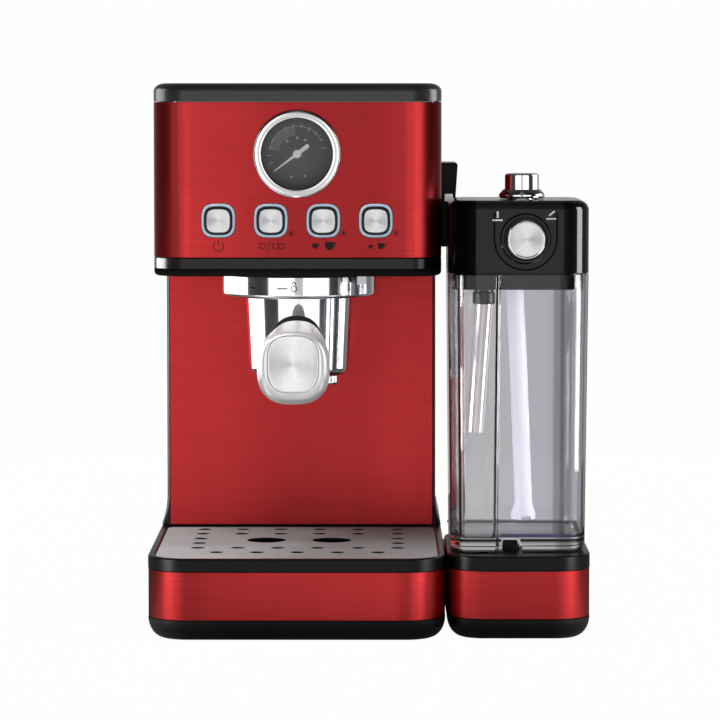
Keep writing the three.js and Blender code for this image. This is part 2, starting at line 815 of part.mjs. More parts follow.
const lidGroup = new THREE.Group();
milkUnit.add(lidGroup);
const SKIRT_LOW = 177;
function frotherLid() {
  const outline = jugOutline;
  const shell = block(outline, [LID_LOW, 0], [218.4, 0], [221.4, 1.2], [LID_TOP, 4.4]);
  const skirt = cut(
    block({ ...outline, inset: 2.9 }, [SKIRT_LOW, 0], [LID_LOW + 1, 0]),
    block({ ...outline, inset: 5 }, [170, 0], [LID_LOW, 0]),
  );
  const inside = block({ ...outline, inset: 5 }, [LID_LOW - 1, 0], [219, 1]);
  const knobWay = peg(4.6, KNOB_X, KNOB_Z, 10, 40);
  const buttonWay = post(7.6, CLEAN_X, CLEAN_Y, 200, 240);
  const steamWay = peg(3, 90, 207, 80, 100);
  return cut(join(shell, skirt), inside, knobWay, buttonWay, steamWay);
}
piece("frother_lid", frotherLid(), "gloss", lidGroup);
piece(
  "clean_ring",
  turned(
    [
      [9.4, LID_TOP + GAP],
      [12, LID_TOP + GAP],
      [11.4, 225.6],
      [10, 227.8],
      [9.4, 227.8],
      [9.4, LID_TOP + GAP],
    ],
    CLEAN_X,
    CLEAN_Y,
    28,
  ),
  "chrome",
  lidGroup,
);
piece(
  "clean_button",
  turned(
    [[0, 214], [7.2, 214], [7.2, 226.6], [8.9, 226.6], [8.9, 235], [8, 236.2], [0, 236.2]],
    CLEAN_X,
    CLEAN_Y,
    28,
  ),
  "chrome",
  lidGroup,
);
piece(
  "control_knob",
  turnedAcross(
    [
      [0, 11.6],
      [9.4, 11.6],
      [10, 12.2],
      [10.3, JUG_FRONT - GAP],
      [4.2, JUG_FRONT - GAP],
      [4.2, 36],
      [0, 36],
    ],
    KNOB_X,
    KNOB_Z,
    32,
  ),
  "chrome",
  lidGroup,
);
piece(
  "froth_tube",
  join(
    post(5.9, FROTH_X, FROTH_Y, 168.6, 186, 16),
    hose(
      [
        [FROTH_X, FROTH_Y, 172],
        [FROTH_X - 0.2, FROTH_Y, 168],
        [FROTH_X - 2.4, FROTH_Y, 135],
        [FROTH_X - 4.6, FROTH_Y, 102],
      ],
      4.6,
      4,
      14,
    ),
  ),
  "steel",
  lidGroup,
);
piece(
  "suction_tube",
  join(
    hose([[113.6, 60, 200], [113.8, 60, 176], [116, 60, 130], [118.6, 60, 66]], 4.6, 8, 12),
    turned([[0, 54.6], [6.4, 54.6], [6.4, 58], [4.4, 63.5], [4.4, 68], [0, 68]], 118.6, 60, 14),
  ),
  "silicone",
  lidGroup,
);

const CENTRE_X = (MILK_X + MILK_HALF - BASE_HALF) / 2;
const BACK = 302.8;
machine.position.set(-CENTRE_X, -(BACK + HANDLE_END) / 2, FOOT_DROP);

const part = new THREE.Group();
part.add(machine);
export default part;
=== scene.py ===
"""Looks of the espresso machine with a side milk tank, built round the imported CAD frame.

Shapes are drawn in the machine's own millimetres: X from the main body's centre line, Y from the front face
of the base, Z from the underside of the base moulding. place() sets them into the row frame by its boxes.
"""
import json
import math

import bpy
import bmesh
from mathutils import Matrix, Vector

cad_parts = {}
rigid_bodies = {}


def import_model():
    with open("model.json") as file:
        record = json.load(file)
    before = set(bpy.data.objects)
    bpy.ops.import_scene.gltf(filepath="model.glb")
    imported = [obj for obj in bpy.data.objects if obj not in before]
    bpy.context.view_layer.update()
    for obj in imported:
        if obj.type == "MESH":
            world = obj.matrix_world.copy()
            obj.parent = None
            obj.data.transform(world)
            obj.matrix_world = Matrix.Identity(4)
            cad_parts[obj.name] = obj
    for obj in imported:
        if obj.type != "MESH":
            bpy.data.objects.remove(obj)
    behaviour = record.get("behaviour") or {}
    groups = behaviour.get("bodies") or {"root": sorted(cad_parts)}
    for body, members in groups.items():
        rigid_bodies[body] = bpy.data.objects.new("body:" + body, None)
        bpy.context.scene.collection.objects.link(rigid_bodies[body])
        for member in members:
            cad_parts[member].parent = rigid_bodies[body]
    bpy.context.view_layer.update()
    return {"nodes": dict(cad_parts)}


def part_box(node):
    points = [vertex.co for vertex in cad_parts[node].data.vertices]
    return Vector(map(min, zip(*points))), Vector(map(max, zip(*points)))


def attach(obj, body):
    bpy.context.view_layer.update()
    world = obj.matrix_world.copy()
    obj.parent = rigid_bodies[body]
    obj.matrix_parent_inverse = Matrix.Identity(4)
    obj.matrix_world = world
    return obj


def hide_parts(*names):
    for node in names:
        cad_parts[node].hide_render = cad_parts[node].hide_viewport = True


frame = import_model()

MM = 0.001
scene = bpy.context.scene


def mm_box(node):
    """A CAD node's box in the machine's millimetres: ((x0, y0, z0), (x1, y1, z1))."""
    low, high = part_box(node)
    return unplace(low), unplace(high)


FRAME_LOW, FRAME_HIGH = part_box("base_frame")
ORIGIN = Vector(((FRAME_LOW.x + FRAME_HIGH.x) / 2, FRAME_LOW.y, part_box("base_pan")[0].z))


def place(x, y, z):
    return ORIGIN + Vector((x, y, z)) * MM


def unplace(v):
    return (v - ORIGIN) / MM


# ---------------------------------------------------------------- sizes read from the frame
BASE_HALF = mm_box("base_frame")[1].x
BASE_BACK = mm_box("base_frame")[1].y
BASE_TOP = mm_box("base_frame")[1].z
BAND_LOW = mm_box("base_pan")[1].z
PLATE_LOW, PLATE_HIGH = mm_box("drip_plate")
COLUMN_TOP = mm_box("column_shell")[1].z
COLUMN_FRONT = mm_box("column_shell")[0].y
BODY_BACK = mm_box("column_shell")[1].y
COLUMN_HALF = mm_box("rear_cover")[1].x
WRAP_LOW, WRAP_HIGH = mm_box("head_wrap")
HEAD_HALF = WRAP_HIGH.x
HEAD_FRONT = WRAP_LOW.y
BEZEL_LOW, BEZEL_HIGH = mm_box("head_bezel")
CAP_LOW, CAP_HIGH = mm_box("head_cap")
DIAL_LOW, DIAL_HIGH = mm_box("gauge_dial")
GAUGE_Z = (DIAL_LOW.z + DIAL_HIGH.z) / 2
BUTTON_BOXES = [mm_box(f"button_{i}") for i in (1, 2, 3, 4)]
BUTTON_X = [(low.x + high.x) / 2 for low, high in BUTTON_BOXES]
BUTTON_Z = (BUTTON_BOXES[0][0].z + BUTTON_BOXES[0][1].z) / 2
COLLAR_LOW, COLLAR_HIGH = mm_box("brew_collar")
GROUP_Y = (COLLAR_LOW.y + COLLAR_HIGH.y) / 2
COLLAR_R = COLLAR_HIGH.x
JUG_LOW, JUG_HIGH = mm_box("milk_jug")
LID_LOW, LID_HIGH = mm_box("frother_lid")
MILK_LOW, MILK_HIGH = mm_box("milk_deck")
MILK_X = (MILK_LOW.x + MILK_HIGH.x) / 2
MILK_HALF = (MILK_HIGH.x - MILK_LOW.x) / 2
KNOB_LOW, KNOB_HIGH = mm_box("control_knob")
KNOB_X = (KNOB_LOW.x + KNOB_HIGH.x) / 2
KNOB_Z = (KNOB_LOW.z + KNOB_HIGH.z) / 2
CLEAN_LOW, CLEAN_HIGH = mm_box("clean_ring")
CLEAN_X = (CLEAN_LOW.x + CLEAN_HIGH.x) / 2
CLEAN_Y = (CLEAN_LOW.y + CLEAN_HIGH.y) / 2
TANK_LOW, TANK_HIGH = mm_box("water_tank")

# Corner radii in plan, the tray's rim, gaps between parts, the sheet, the pan's edge, the milk deck's top.
BASE_CORNER = 21
HEAD_CORNER = 16
MILK_CORNER = 19
RIM = 3.4
GAP = 0.3
SHEET = 1.0
FILLET = 8.0
PAN_DROP = -1.8
DECK_TOP = 41.7


# ---------------------------------------------------------------- materials


def material(name, base, rough=0.4, metal=0.0, **extra):
    """A Principled material; extra names other sockets, with _ for a space."""
    m = bpy.data.materials.new(name)
    m.use_nodes = True
    shader = m.node_tree.nodes["Principled BSDF"]
    feed(m.node_tree, shader, **{"Base_Color": (*base, 1), "Roughness": rough, "Metallic": metal, **extra})
    return m, m.node_tree, shader


def feed(tree, made, **sockets):
    """Sets a node's inputs, with _ for a space; an output socket is linked instead."""
    for key, value in sockets.items():
        socket = made.inputs[key.replace("_", " ")]
        if isinstance(value, bpy.types.NodeSocket):
            tree.links.new(value, socket)
        else:
            socket.default_value = value


def node(tree, kind, **settings):
    """A new node; settings are its options, or inputs as feed() takes them."""
    made = tree.nodes.new(kind)
    for key, value in settings.items():
        if hasattr(made, key):
            setattr(made, key, value)
        else:
            feed(tree, made, **{key: value})
    return made


NOISE_SPAN = (0.3, 0.7)


def noise(tree, scale, stretch=(1, 1, 1), detail=4):
    """Noise over the object's own metres, stretched along each axis."""
    coords = node(tree, "ShaderNodeTexCoord").outputs["Object"]
    mapped = node(tree, "ShaderNodeMapping", Vector=coords, Scale=stretch).outputs["Vector"]
    made = node(tree, "ShaderNodeTexNoise", Vector=mapped, Scale=scale, Detail=detail, Roughness=0.6)
    return made.outputs["Fac"]


def ramp(tree, source, low, high, span=NOISE_SPAN):
    """Maps a value over a span to a colour between low and high."""
    made = node(tree, "ShaderNodeValToRGB", Fac=source)
    for element, at, color in zip(made.color_ramp.elements, span, (low, high)):
        element.position = at
        element.color = (*color, 1)
    return made.outputs["Color"]


def spread(tree, source, low=0, high=1, span=NOISE_SPAN, **settings):
    """Maps a value over a span to a number between low and high."""
    made = node(tree, "ShaderNodeMapRange", Value=source, From_Min=span[0], From_Max=span[1], **settings)
    feed(tree, made, To_Min=low, To_Max=high)
    return made.outputs["Result"]


def grey_ramp(tree, source, stops, interpolation="LINEAR"):
    """A grey colour that follows (position from 0 to 1, value) stops."""
    made = node(tree, "ShaderNodeValToRGB", Fac=source)
    made.color_ramp.interpolation = interpolation
    elements = made.color_ramp.elements
    for at, value in stops:
        element = elements[0] if at == 0 else elements[len(elements) - 1] if at == 1 else elements.new(at)
        element.color = (value, value, value, 1)
    return made.outputs["Color"]


def bump(tree, shader, source, strength, distance):
    made = node(tree, "ShaderNodeBump", Height=source, Strength=strength, Distance=distance)
    feed(tree, shader, Normal=made.outputs["Normal"])


def tone(color, factor):
    return tuple(min(1.0, c * factor) for c in color)


def brushed(name, base, rough, stretch, contrast=0.1, grain=900, depth=0.00002, **extra):
    """Sheet metal with fine brush lines; stretch is small along the lines and 1 across them."""
    m, tree, shader = material(name, base, rough, 1.0, **extra)
    fine = noise(tree, grain, stretch, 5)
    broad = noise(tree, 18, detail=2)
    paint = ramp(tree, fine, tone(base, 1 - contrast), tone(base, 1 + contrast))
    feed(tree, shader, Base_Color=paint, Roughness=spread(tree, broad, rough - 0.03, rough + 0.04))
    bump(tree, shader, fine, 0.25, depth)
    return m


def moulded(name, base, rough, grain=1600, depth=0.00001, variation=0.02, **extra):
    """Injection-moulded plastic: a very fine grain and slightly uneven gloss."""
    m, tree, shader = material(name, base, rough, 0.0, **extra)
    fine = noise(tree, grain, detail=3)
    broad = noise(tree, 30, detail=3)
    gloss = spread(tree, broad, rough - variation, rough + variation)
    feed(tree, shader, Base_Color=ramp(tree, broad, tone(base, 0.9), tone(base, 1.12)), Roughness=gloss)
    bump(tree, shader, fine, 0.12, depth)
    return m


def red_sheet(name, base, contrast):
    """Red sheet brushed along its length, under a thin clear coat."""
    coat = {"Anisotropic": 0.3, "Coat_Weight": 0.08, "Coat_Roughness": 0.2}
    return brushed(name, base, 0.34, (0.012, 0.012, 1), contrast, 2600, **coat)


def turned_disc(name, base, rough):
    """Circular brushing about a front-to-back axis, so that light breaks into a bow-tie on the disc."""
    m, tree, shader = material(name, base, rough, 1.0, Anisotropic=0.75)
    tangent = node(tree, "ShaderNodeTangent", direction_type="RADIAL", axis="Y").outputs["Tangent"]
    broad = noise(tree, 260, detail=3)
    feed(tree, shader, Tangent=tangent, Base_Color=ramp(tree, broad, tone(base, 0.95), tone(base, 1.04)))
    return m


def uneven(name, base, rough, metal, scale, detail, dull, haze, **extra):
    """A smooth material whose paint dims by a factor, and whose gloss varies, in soft patches."""
    m, tree, shader = material(name, base, rough, metal, **extra)
    patches = noise(tree, scale, detail=detail)
    paint = ramp(tree, patches, tone(base, dull), base)
    feed(tree, shader, Base_Color=paint, Roughness=spread(tree, patches, rough, rough + haze))
    return m


def chrome(name, base=(0.86, 0.86, 0.87), rough=0.06):
    return uneven(name, base, rough, 1.0, 45, 4, 0.97, 0.05)


def clear(name, tint, rough=0.02, ior=1.46):
    """Transparent plastic or glass with a faint uneven haze."""
    return uneven(name, tint, rough, 0.0, 60, 3, 0.985, 0.025, Transmission_Weight=1.0, IOR=ior)


def ramp_across(tree, stops):
    """A grey value that follows (machine X in mm, value) stops, smoothly in between."""
    coords = node(tree, "ShaderNodeTexCoord").outputs["Object"]
    x_metres = node(tree, "ShaderNodeSeparateXYZ", Vector=coords).outputs["X"]
    first, last = stops[0][0], stops[-1][0]
    share = spread(tree, x_metres, span=(place(first, 0, 0).x, place(last, 0, 0).x))
    return grey_ramp(tree, share, [((x - first) / (last - first), value) for x, value in stops], "EASE")


def shaded_across(m, stops):
    """Paints light and shade into a material: multiplies its paint by factors at (machine X in mm, factor)
    stops, smoothly in between.
    """
    tree = m.node_tree
    shader = tree.nodes["Principled BSDF"]
    source = shader.inputs["Base Color"].links[0].from_socket
    scaled = node(tree, "ShaderNodeVectorMath", operation="MULTIPLY", Vector=source)
    tree.links.new(ramp_across(tree, stops), scaled.inputs[1])
    feed(tree, shader, Base_Color=scaled.outputs["Vector"])
    return m


def gloss_across(m, stops):
    """Makes a material glossy only over given stretches of machine X, as (X in mm, specular level) stops."""
    tree = m.node_tree
    feed(tree, tree.nodes["Principled BSDF"], Specular_IOR_Level=ramp_across(tree, stops))
    return m


RED = (0.44, 0.028, 0.03)
# Painted light: the bands use the same red sheet as the head, painted 12 percent lighter.
BAND_RED_PAINTED_LIGHTER = tone(RED, 1.12)
GLOSS_BLACK = (0.004, 0.004, 0.0045)

# Painted light and shade: factors on the paint, from left to right over machine X in mm, for painted
# highlights, streaks and shade.
FACE_PAINTED_LIGHT = (
    (-75, 1.1), (-69, 1.1), (-62.5, 0.36), (-57.5, 1.7), (-53, 1.42), (-41, 1.32), (5, 0.98), (40, 0.93),
    (54, 1.1), (59.2, 1.6), (63.5, 1.0), (69, 0.75), (75, 0.8),
)
PANEL_PAINTED_LIGHT = ((-75, 1.45), (-50, 1.4), (0, 1.15), (30, 1.28), (55, 1.7), (75, 1.7))
BAND_PAINTED_LIGHT = (
    (-75, 0.6), (-70, 0.7), (-66, 1.0), (-61, 1.0), (-57, 0.85), (-53, 0.88), (-40, 1.08), (0, 1.12),
    (30, 1.2), (50, 1.25), (54, 1.0), (57.5, 0.92), (60, 1.2), (63.5, 1.2), (67, 0.75), (75, 0.45),
)
# Painted shade on the clear jug: dark strips where its walls are seen edge-on at the corners, and a slightly
# lighter lobe.
JUG_PAINTED_SHADE = (
    (74, 0.3), (78.6, 0.35), (80.6, 0.7), (82, 0.45), (84, 0.5), (85.3, 1.06), (104.6, 1.06), (106, 1.05),
    (134.5, 1.02), (136.8, 0.55), (141, 0.55), (142.6, 1.02), (146.5, 1.02), (147.5, 0.85), (150, 0.85),
)
# Specular level of the frother lid, the same way.
LID_GLOSS = (
    (74, 0.03), (91.6, 0.03), (92.8, 0.62), (136.6, 0.62),
    (137.8, 0.15), (140.6, 0.15), (142.6, 0.7), (150, 0.7),
)

M = {
    # Painted light: the milk band takes the lighter painted copy of the red.
    "red": red_sheet("red_brushed", BAND_RED_PAINTED_LIGHTER, 0.13),
    # Painted light: the face, panel and band sheets carry painted highlights, streaks and shade across X.
    "red_face": shaded_across(red_sheet("red_brushed_face_painted_light", RED, 0.1), FACE_PAINTED_LIGHT),
    "red_panel": shaded_across(red_sheet("red_brushed_panel_painted_light", RED, 0.1), PANEL_PAINTED_LIGHT),
    "red_band": shaded_across(red_sheet("red_brushed_band_painted_light", BAND_RED_PAINTED_LIGHTER, 0.13), BAND_PAINTED_LIGHT),
    "black": moulded("black_satin", (0.006, 0.006, 0.0062), 0.32, Specular_IOR_Level=0.36),
    "rim": moulded("black_rim", (0.0055, 0.0058, 0.0058), 0.3, Specular_IOR_Level=0.24),
    "cap": moulded("black_cap", (0.04, 0.0405, 0.04), 0.27, Specular_IOR_Level=0.7),
    "gloss_frame": moulded("black_frame", (0.006, 0.006, 0.007), 0.2, Specular_IOR_Level=0.65),
    "gloss": moulded(
        "black_gloss", GLOSS_BLACK, 0.1, depth=0.000002, Coat_Weight=0.4, Coat_Roughness=0.04,
    ),
    "gloss_lid": gloss_across(moulded("black_gloss_lid", GLOSS_BLACK, 0.1, depth=0.000002), LID_GLOSS),
    "groove": moulded("button_groove", (0.035, 0.035, 0.04), 0.4),
    "dark_collar": moulded("collar_dark", (0.03, 0.03, 0.034), 0.3),
    "rubber": moulded(
        "black_rubber", (0.005, 0.005, 0.005), 0.75, 700, 0.00004, 0.08, Specular_IOR_Level=0.25,
    ),
    "plate": moulded(
        "plate_steel", (0.34, 0.335, 0.335), 0.55, 1400, 0.00001, 0.04, Metallic=0.1,
        Specular_IOR_Level=0.15,
    ),
    "steel": brushed("brushed_steel", (0.66, 0.66, 0.65), 0.28, (1, 1, 0.02), 0.05, 1500),
    "bezel": brushed("bezel_steel", (0.82, 0.82, 0.81), 0.2, (1, 1, 1), 0.03, 1200),
    "chrome": chrome("chrome"),
    "satin": moulded("satin_silver", (0.8, 0.805, 0.8), 0.3, 1800, 0.000006, 0.03, Metallic=0.6),
    "disc": turned_disc("turned_disc", (0.82, 0.82, 0.83), 0.3),
    "disc_small": turned_disc("turned_disc_small", (0.66, 0.66, 0.67), 0.3),
    # Painted reflection and light: the steel froth tube is tinted pink for the red machine it reflects, and
    # glows faintly.
    "tube": moulded(
        "tube_steel", (0.8, 0.77, 0.77), 0.2, 1800, 0.000006, 0.03, Metallic=0.8,
        Emission_Color=(1, 0.93, 0.95, 1), Emission_Strength=0.2,
    ),
    "cast": moulded("cast_metal", (0.34, 0.35, 0.36), 0.5, 500, 0.00006, 0.08, Metallic=0.9),
    "lit": moulded(
        "light_guide_milky", (0.47, 0.58, 0.68), 0.3,
        Emission_Color=(0.5, 0.68, 0.85, 1), Emission_Strength=0.12,
    ),
    # Painted shade: the jug's tint darkens in strips at its corners.
    "jug": shaded_across(clear("jug_plastic_painted_shade", (0.94, 0.93, 0.98)), JUG_PAINTED_SHADE),
    "glass": clear("gauge_glass", (1, 1, 1), 0.0, 1.2),
    "smoke": clear("smoke_plastic", (0.58, 0.6, 0.64)),
    # Painted light: the white suction tube glows, standing in for the light that reaches it through the jug.
    "silicone": moulded(
        "silicone_white", (0.82, 0.83, 0.9), 0.32, 900, 0.00001, 0.03,
        Emission_Color=(0.88, 0.9, 1, 1), Emission_Strength=0.42,
    ),
    "hose": moulded("hose_white", (0.6, 0.6, 0.6), 0.4),
    "board": moulded("circuit_board", (0.02, 0.12, 0.05), 0.4),
    "dial": moulded("dial_grey", (0.26, 0.262, 0.268), 0.5),
    "dial_light": moulded("dial_band", (0.42, 0.42, 0.43), 0.5),
    "dial_print": moulded("dial_print", (0.8, 0.77, 0.72), 0.5),
    # Painted light: the gauge needle glows faintly.
    "cream": moulded(
        "needle_cream", (0.9, 0.87, 0.83), 0.4,
        Emission_Color=(1, 0.96, 0.92, 1), Emission_Strength=0.25,
    ),
    # Painted refraction: a violet line on the jug's floor.
    "violet": moulded("violet_refraction_line", (0.07, 0.07, 0.2), 0.3),
    "ink": moulded("icon_ink", (0.015, 0.008, 0.008), 0.5),
    "ink_red": moulded("icon_ink_red", (0.13, 0.012, 0.014), 0.5),
    "white": moulded("icon_white", (0.8, 0.8, 0.8), 0.5),
}


# ---------------------------------------------------------------- mesh building


def ring(x, half, y0, y1, r_front, r_back=None, inset=0.0, steps=14):
    """Rounded rectangle, anticlockwise from the front right corner."""
    r_back = r_front if r_back is None else r_back
    points = []
    corners = (
        (x + half - inset, y0 + inset, 1, 1, r_front, -90),
        (x + half - inset, y1 - inset, 1, -1, r_back, 0),
        (x - half + inset, y1 - inset, -1, -1, r_back, 90),
        (x - half + inset, y0 + inset, -1, 1, r_front, 180),
    )
    for cx, cy, sx, sy, radius, start in corners:
        r = max(radius - inset, 0.4)
        for i in range(steps + 1):
            a = math.radians(start + 90 * i / steps)
            points.append((cx - sx * r + r * math.cos(a), cy + sy * r + r * math.sin(a)))
    return points


def filleted(corners, steps=8):
    """Closed outline through (x, y, radius) corners, anticlockwise, each rounded to its radius."""
    points = []
    n = len(corners)
    for i, (x, y, r) in enumerate(corners):
        here = Vector((x, y))
        before = (Vector(corners[i - 1][:2]) - here).normalized()
        after = (Vector(corners[(i + 1) % n][:2]) - here).normalized()
        half_angle = math.acos(max(-1, min(1, before.dot(after)))) / 2
        start = here + before * (r / math.tan(half_angle))
        end = here + after * (r / math.tan(half_angle))
        centre = here + (before + after).normalized() * (r / math.sin(half_angle))
        a0 = math.atan2(*(start - centre).yx)
        a1 = math.atan2(*(end - centre).yx)
        turn = (a1 - a0 + math.pi) % (2 * math.pi) - math.pi
        for k in range(steps + 1):
            a = a0 + turn * k / steps
            points.append((centre.x + r * math.cos(a), centre.y + r * math.sin(a)))
    return points


def shrunk(points, inset):
    """The outline moved inwards by inset, point by point."""
    made = []
    n = len(points)
    for i in range(n):
        a, b, c = (Vector(points[(i + k) % n]) for k in (-1, 0, 1))
        one, two = (b - a).normalized(), (c - b).normalized()
        left = Vector((-one.y - two.y, one.x + two.x)).normalized()
        scale = inset / max(0.5, left.dot(Vector((-one.y, one.x))))
        made.append((b.x + left.x * scale, b.y + left.y * scale))
    return made


def low_fillet(z, tall, wide, steps=8):
    """Levels (z, inset) of a rounded lower edge."""
    angles = [math.pi / 2 * i / steps for i in range(steps + 1)]
    return [(z + tall * (1 - math.cos(a)), wide * (1 - math.sin(a))) for a in angles]


def high_fillet(z, tall, wide, steps=8):
    """Levels (z, inset) of a rounded upper edge that ends at z."""
    angles = [math.pi / 2 * i / steps for i in range(steps + 1)]
    return [(z - tall * (1 - math.sin(a)), wide * (1 - math.cos(a))) for a in angles]


def rings_to_mesh(rings, closed=False):
    """Vertices and faces of a skin through equal rings of 3-D points, capped at both ends unless closed."""
    n = len(rings[0])
    verts = [p for r in rings for p in r]
    faces = []
    last = len(rings) if closed else len(rings) - 1
    for k in range(last):
        k2 = (k + 1) % len(rings)
        for i in range(n):
            j = (i + 1) % n
            faces.append((k * n + i, k * n + j, k2 * n + j, k2 * n + i))
    if not closed:
        faces.append(tuple(reversed(range(n))))
        faces.append(tuple(range((len(rings) - 1) * n, len(rings) * n)))
    return verts, faces


def level_rings(outline, levels):
    """Rings at (z, inset) levels; outline(inset) gives each ring's (x, y) points."""
    return [[(x, y, z) for x, y in outline(inset)] for z, inset in levels]


def upright_rings(outline, levels):
    """Upright rings at (y, size) levels; outline(size) gives each ring's (x, z) points."""
    return [[(x, y, z) for x, z in outline(size)] for y, size in levels]


def stack(levels, outline, closed=False):
    """Skin through the rings of one outline at (z, inset) levels."""
    return rings_to_mesh(level_rings(outline, levels), closed)


def lathe(profile, centre, axis="Z", segments=96):
    """Turned solid from (radius, height) pairs; a zero radius closes on the axis."""
    cx, cy = centre
    verts, faces, rows = [], [], []
    for r, h in profile:
        row = []
        count = 1 if r < 1e-6 else segments
        for i in range(count):
            a = 2 * math.pi * i / segments
            u, v = r * math.cos(a), r * math.sin(a)
            row.append(len(verts))
            verts.append((cx + u, cy + v, h) if axis == "Z" else (cx + u, h, cy + v))
        rows.append(row)
    pairs = list(zip(rows, rows[1:]))
    if profile[0][0] > 1e-6 and profile[0] == profile[-1]:
        pairs = list(zip(rows[:-1], rows[1:-1] + rows[:1]))
    for low, high in pairs:
        for i in range(segments):
            j = (i + 1) % segments
            quad = [low[i % len(low)], low[j % len(low)], high[j % len(high)], high[i % len(high)]]
            quad = list(dict.fromkeys(quad))
            if len(quad) > 2:
                faces.append(tuple(quad))
    return verts, faces


def extruded(outline, y0, y1):
    """Upright outline of (x, z) points, extruded front to back."""
    return rings_to_mesh([[(x, y, z) for x, z in outline] for y in (y0, y1)])


def prism(outline, z0, z1):
    """Outline of (x, y) points, extruded upwards."""
    return rings_to_mesh([[(x, y, z) for x, y in outline] for z in (z0, z1)])


def cuboid(x0, x1, y0, y1, z0, z1):
    return prism([(x0, y0), (x1, y0), (x1, y1), (x0, y1)], z0, z1)


def disc(r, x, z, y0, y1, segments=64):
    return extruded([(x + r * math.cos(a), z + r * math.sin(a)) for a in angles_of(segments)], y0, y1)


def pillar(r, x, y, z0, z1, segments=48):
    return prism([(x + r * math.cos(a), y + r * math.sin(a)) for a in angles_of(segments)], z0, z1)


def angles_of(n):
    return [2 * math.pi * i / n for i in range(n)]


def squircle(size, x, z, power=3.2, segments=72):
    points = []
    for a in angles_of(segments):
        c, s = math.cos(a), math.sin(a)
        k = size / 2 / (abs(c) ** power + abs(s) ** power) ** (1 / power)
        points.append((x + k * c, z + k * s))
    return points


def merged(*parts):
    """Several (vertices, faces) as one."""
    verts, faces = [], []
    for v, f in parts:
        base = len(verts)
        verts += v
        faces += [tuple(i + base for i in face) for face in f]
    return verts, faces


def raw_object(name, mesh_data):
    verts, faces = mesh_data
    me = bpy.data.meshes.new(name)
    me.from_pydata([place(*v) for v in verts], [], faces)
    bm = bmesh.new()
    bm.from_mesh(me)
    bmesh.ops.remove_doubles(bm, verts=bm.verts, dist=1e-7)
    bmesh.ops.recalc_face_normals(bm, faces=bm.faces)
    bm.to_mesh(me)
    bm.free()
    obj = bpy.data.objects.new(name, me)
    scene.collection.objects.link(obj)
    return obj


def bake_modifiers(obj):
    bpy.context.view_layer.update()
    evaluated = obj.evaluated_get(bpy.context.evaluated_depsgraph_get())
    fresh = bpy.data.meshes.new_from_object(evaluated)
    obj.modifiers.clear()
    obj.data = fresh


def carve(obj, *cutters, operation="DIFFERENCE"):
    """Cuts (or joins) each (vertices, faces) tool from obj and keeps the result as plain mesh."""
    for cutter in cutters:
        tool = raw_object("tool", cutter)
        mod = obj.modifiers.new("cut", "BOOLEAN")
        mod.operation = operation
        mod.solver = "EXACT"
        mod.object = tool
        bake_modifiers(obj)
        bpy.data.objects.remove(tool)
    return obj


def piece(
    name, mesh_data, mat, body="machine", replaces=(), bevel=0.0, cuts=(), joins=(), angle=32,
):
    """A finished piece: built, cut, edge-softened, smooth-shaded, with a material, riding on its body."""
    obj = raw_object(name, mesh_data)
    carve(obj, *joins, operation="UNION")
    carve(obj, *cuts)
    if bevel:
        mod = obj.modifiers.new("soft_edge", "BEVEL")
        mod.width = bevel * MM
        mod.segments = 3
        mod.limit_method = "ANGLE"
        mod.angle_limit = math.radians(30)
        bake_modifiers(obj)
    obj.data.polygons.foreach_set("use_smooth", [True] * len(obj.data.polygons))
    obj.data.set_sharp_from_angle(angle=math.radians(angle))
    normals = obj.modifiers.new("even_normals", "WEIGHTED_NORMAL")
    normals.keep_sharp = True
    obj.data.materials.clear()
    obj.data.materials.append(M[mat])
    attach(obj, body)
    if replaces:
        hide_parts(*replaces)
    return obj


def finish_node(name, mat):
    """A CAD node whose shape is right keeps its mesh and takes a finished material."""
    obj = frame["nodes"][name]
    obj.data.materials.clear()
    obj.data.materials.append(M[mat])


# ---------------------------------------------------------------- a base with its pan, band and frame


def base_outline(x, half, y0, y1, corner):
    return lambda inset: ring(x, half, y0, y1, corner, corner, inset)


def pan_levels():
    return low_fillet(PAN_DROP, BAND_LOW - PAN_DROP, FILLET) + [(BAND_LOW, 2.5), (5, 2.8), (2.6, 6)]


def u_path(x, half, y0, y1, corner, inset, steps=14):
    """Open path from the back left, round the front, to the back right."""
    points = [(x - half + inset, y1)]
    r = corner - inset
    for cx, start in ((x - half + corner, 180), (x + half - corner, 270)):
        for i in range(steps + 1):
            a = math.radians(start + 90 * i / steps)
            points.append((cx + r * math.cos(a), y0 + corner + r * math.sin(a)))
    points.append((x + half - inset, y1))
    return points


def u_sheet(x, half, y0, y1, corner, inset, thick, z0, z1):
    outer = u_path(x, half, y0, y1, corner, inset)
    inner = u_path(x, half, y0, y1, corner, inset + thick)
    return prism(outer + inner[::-1], z0, z1)


def closed_band(outline, inset, thick, z0, z1):
    levels = [(z0, inset), (z1, inset), (z1, inset + thick), (z0, inset + thick)]
    return stack(levels, outline, closed=True)


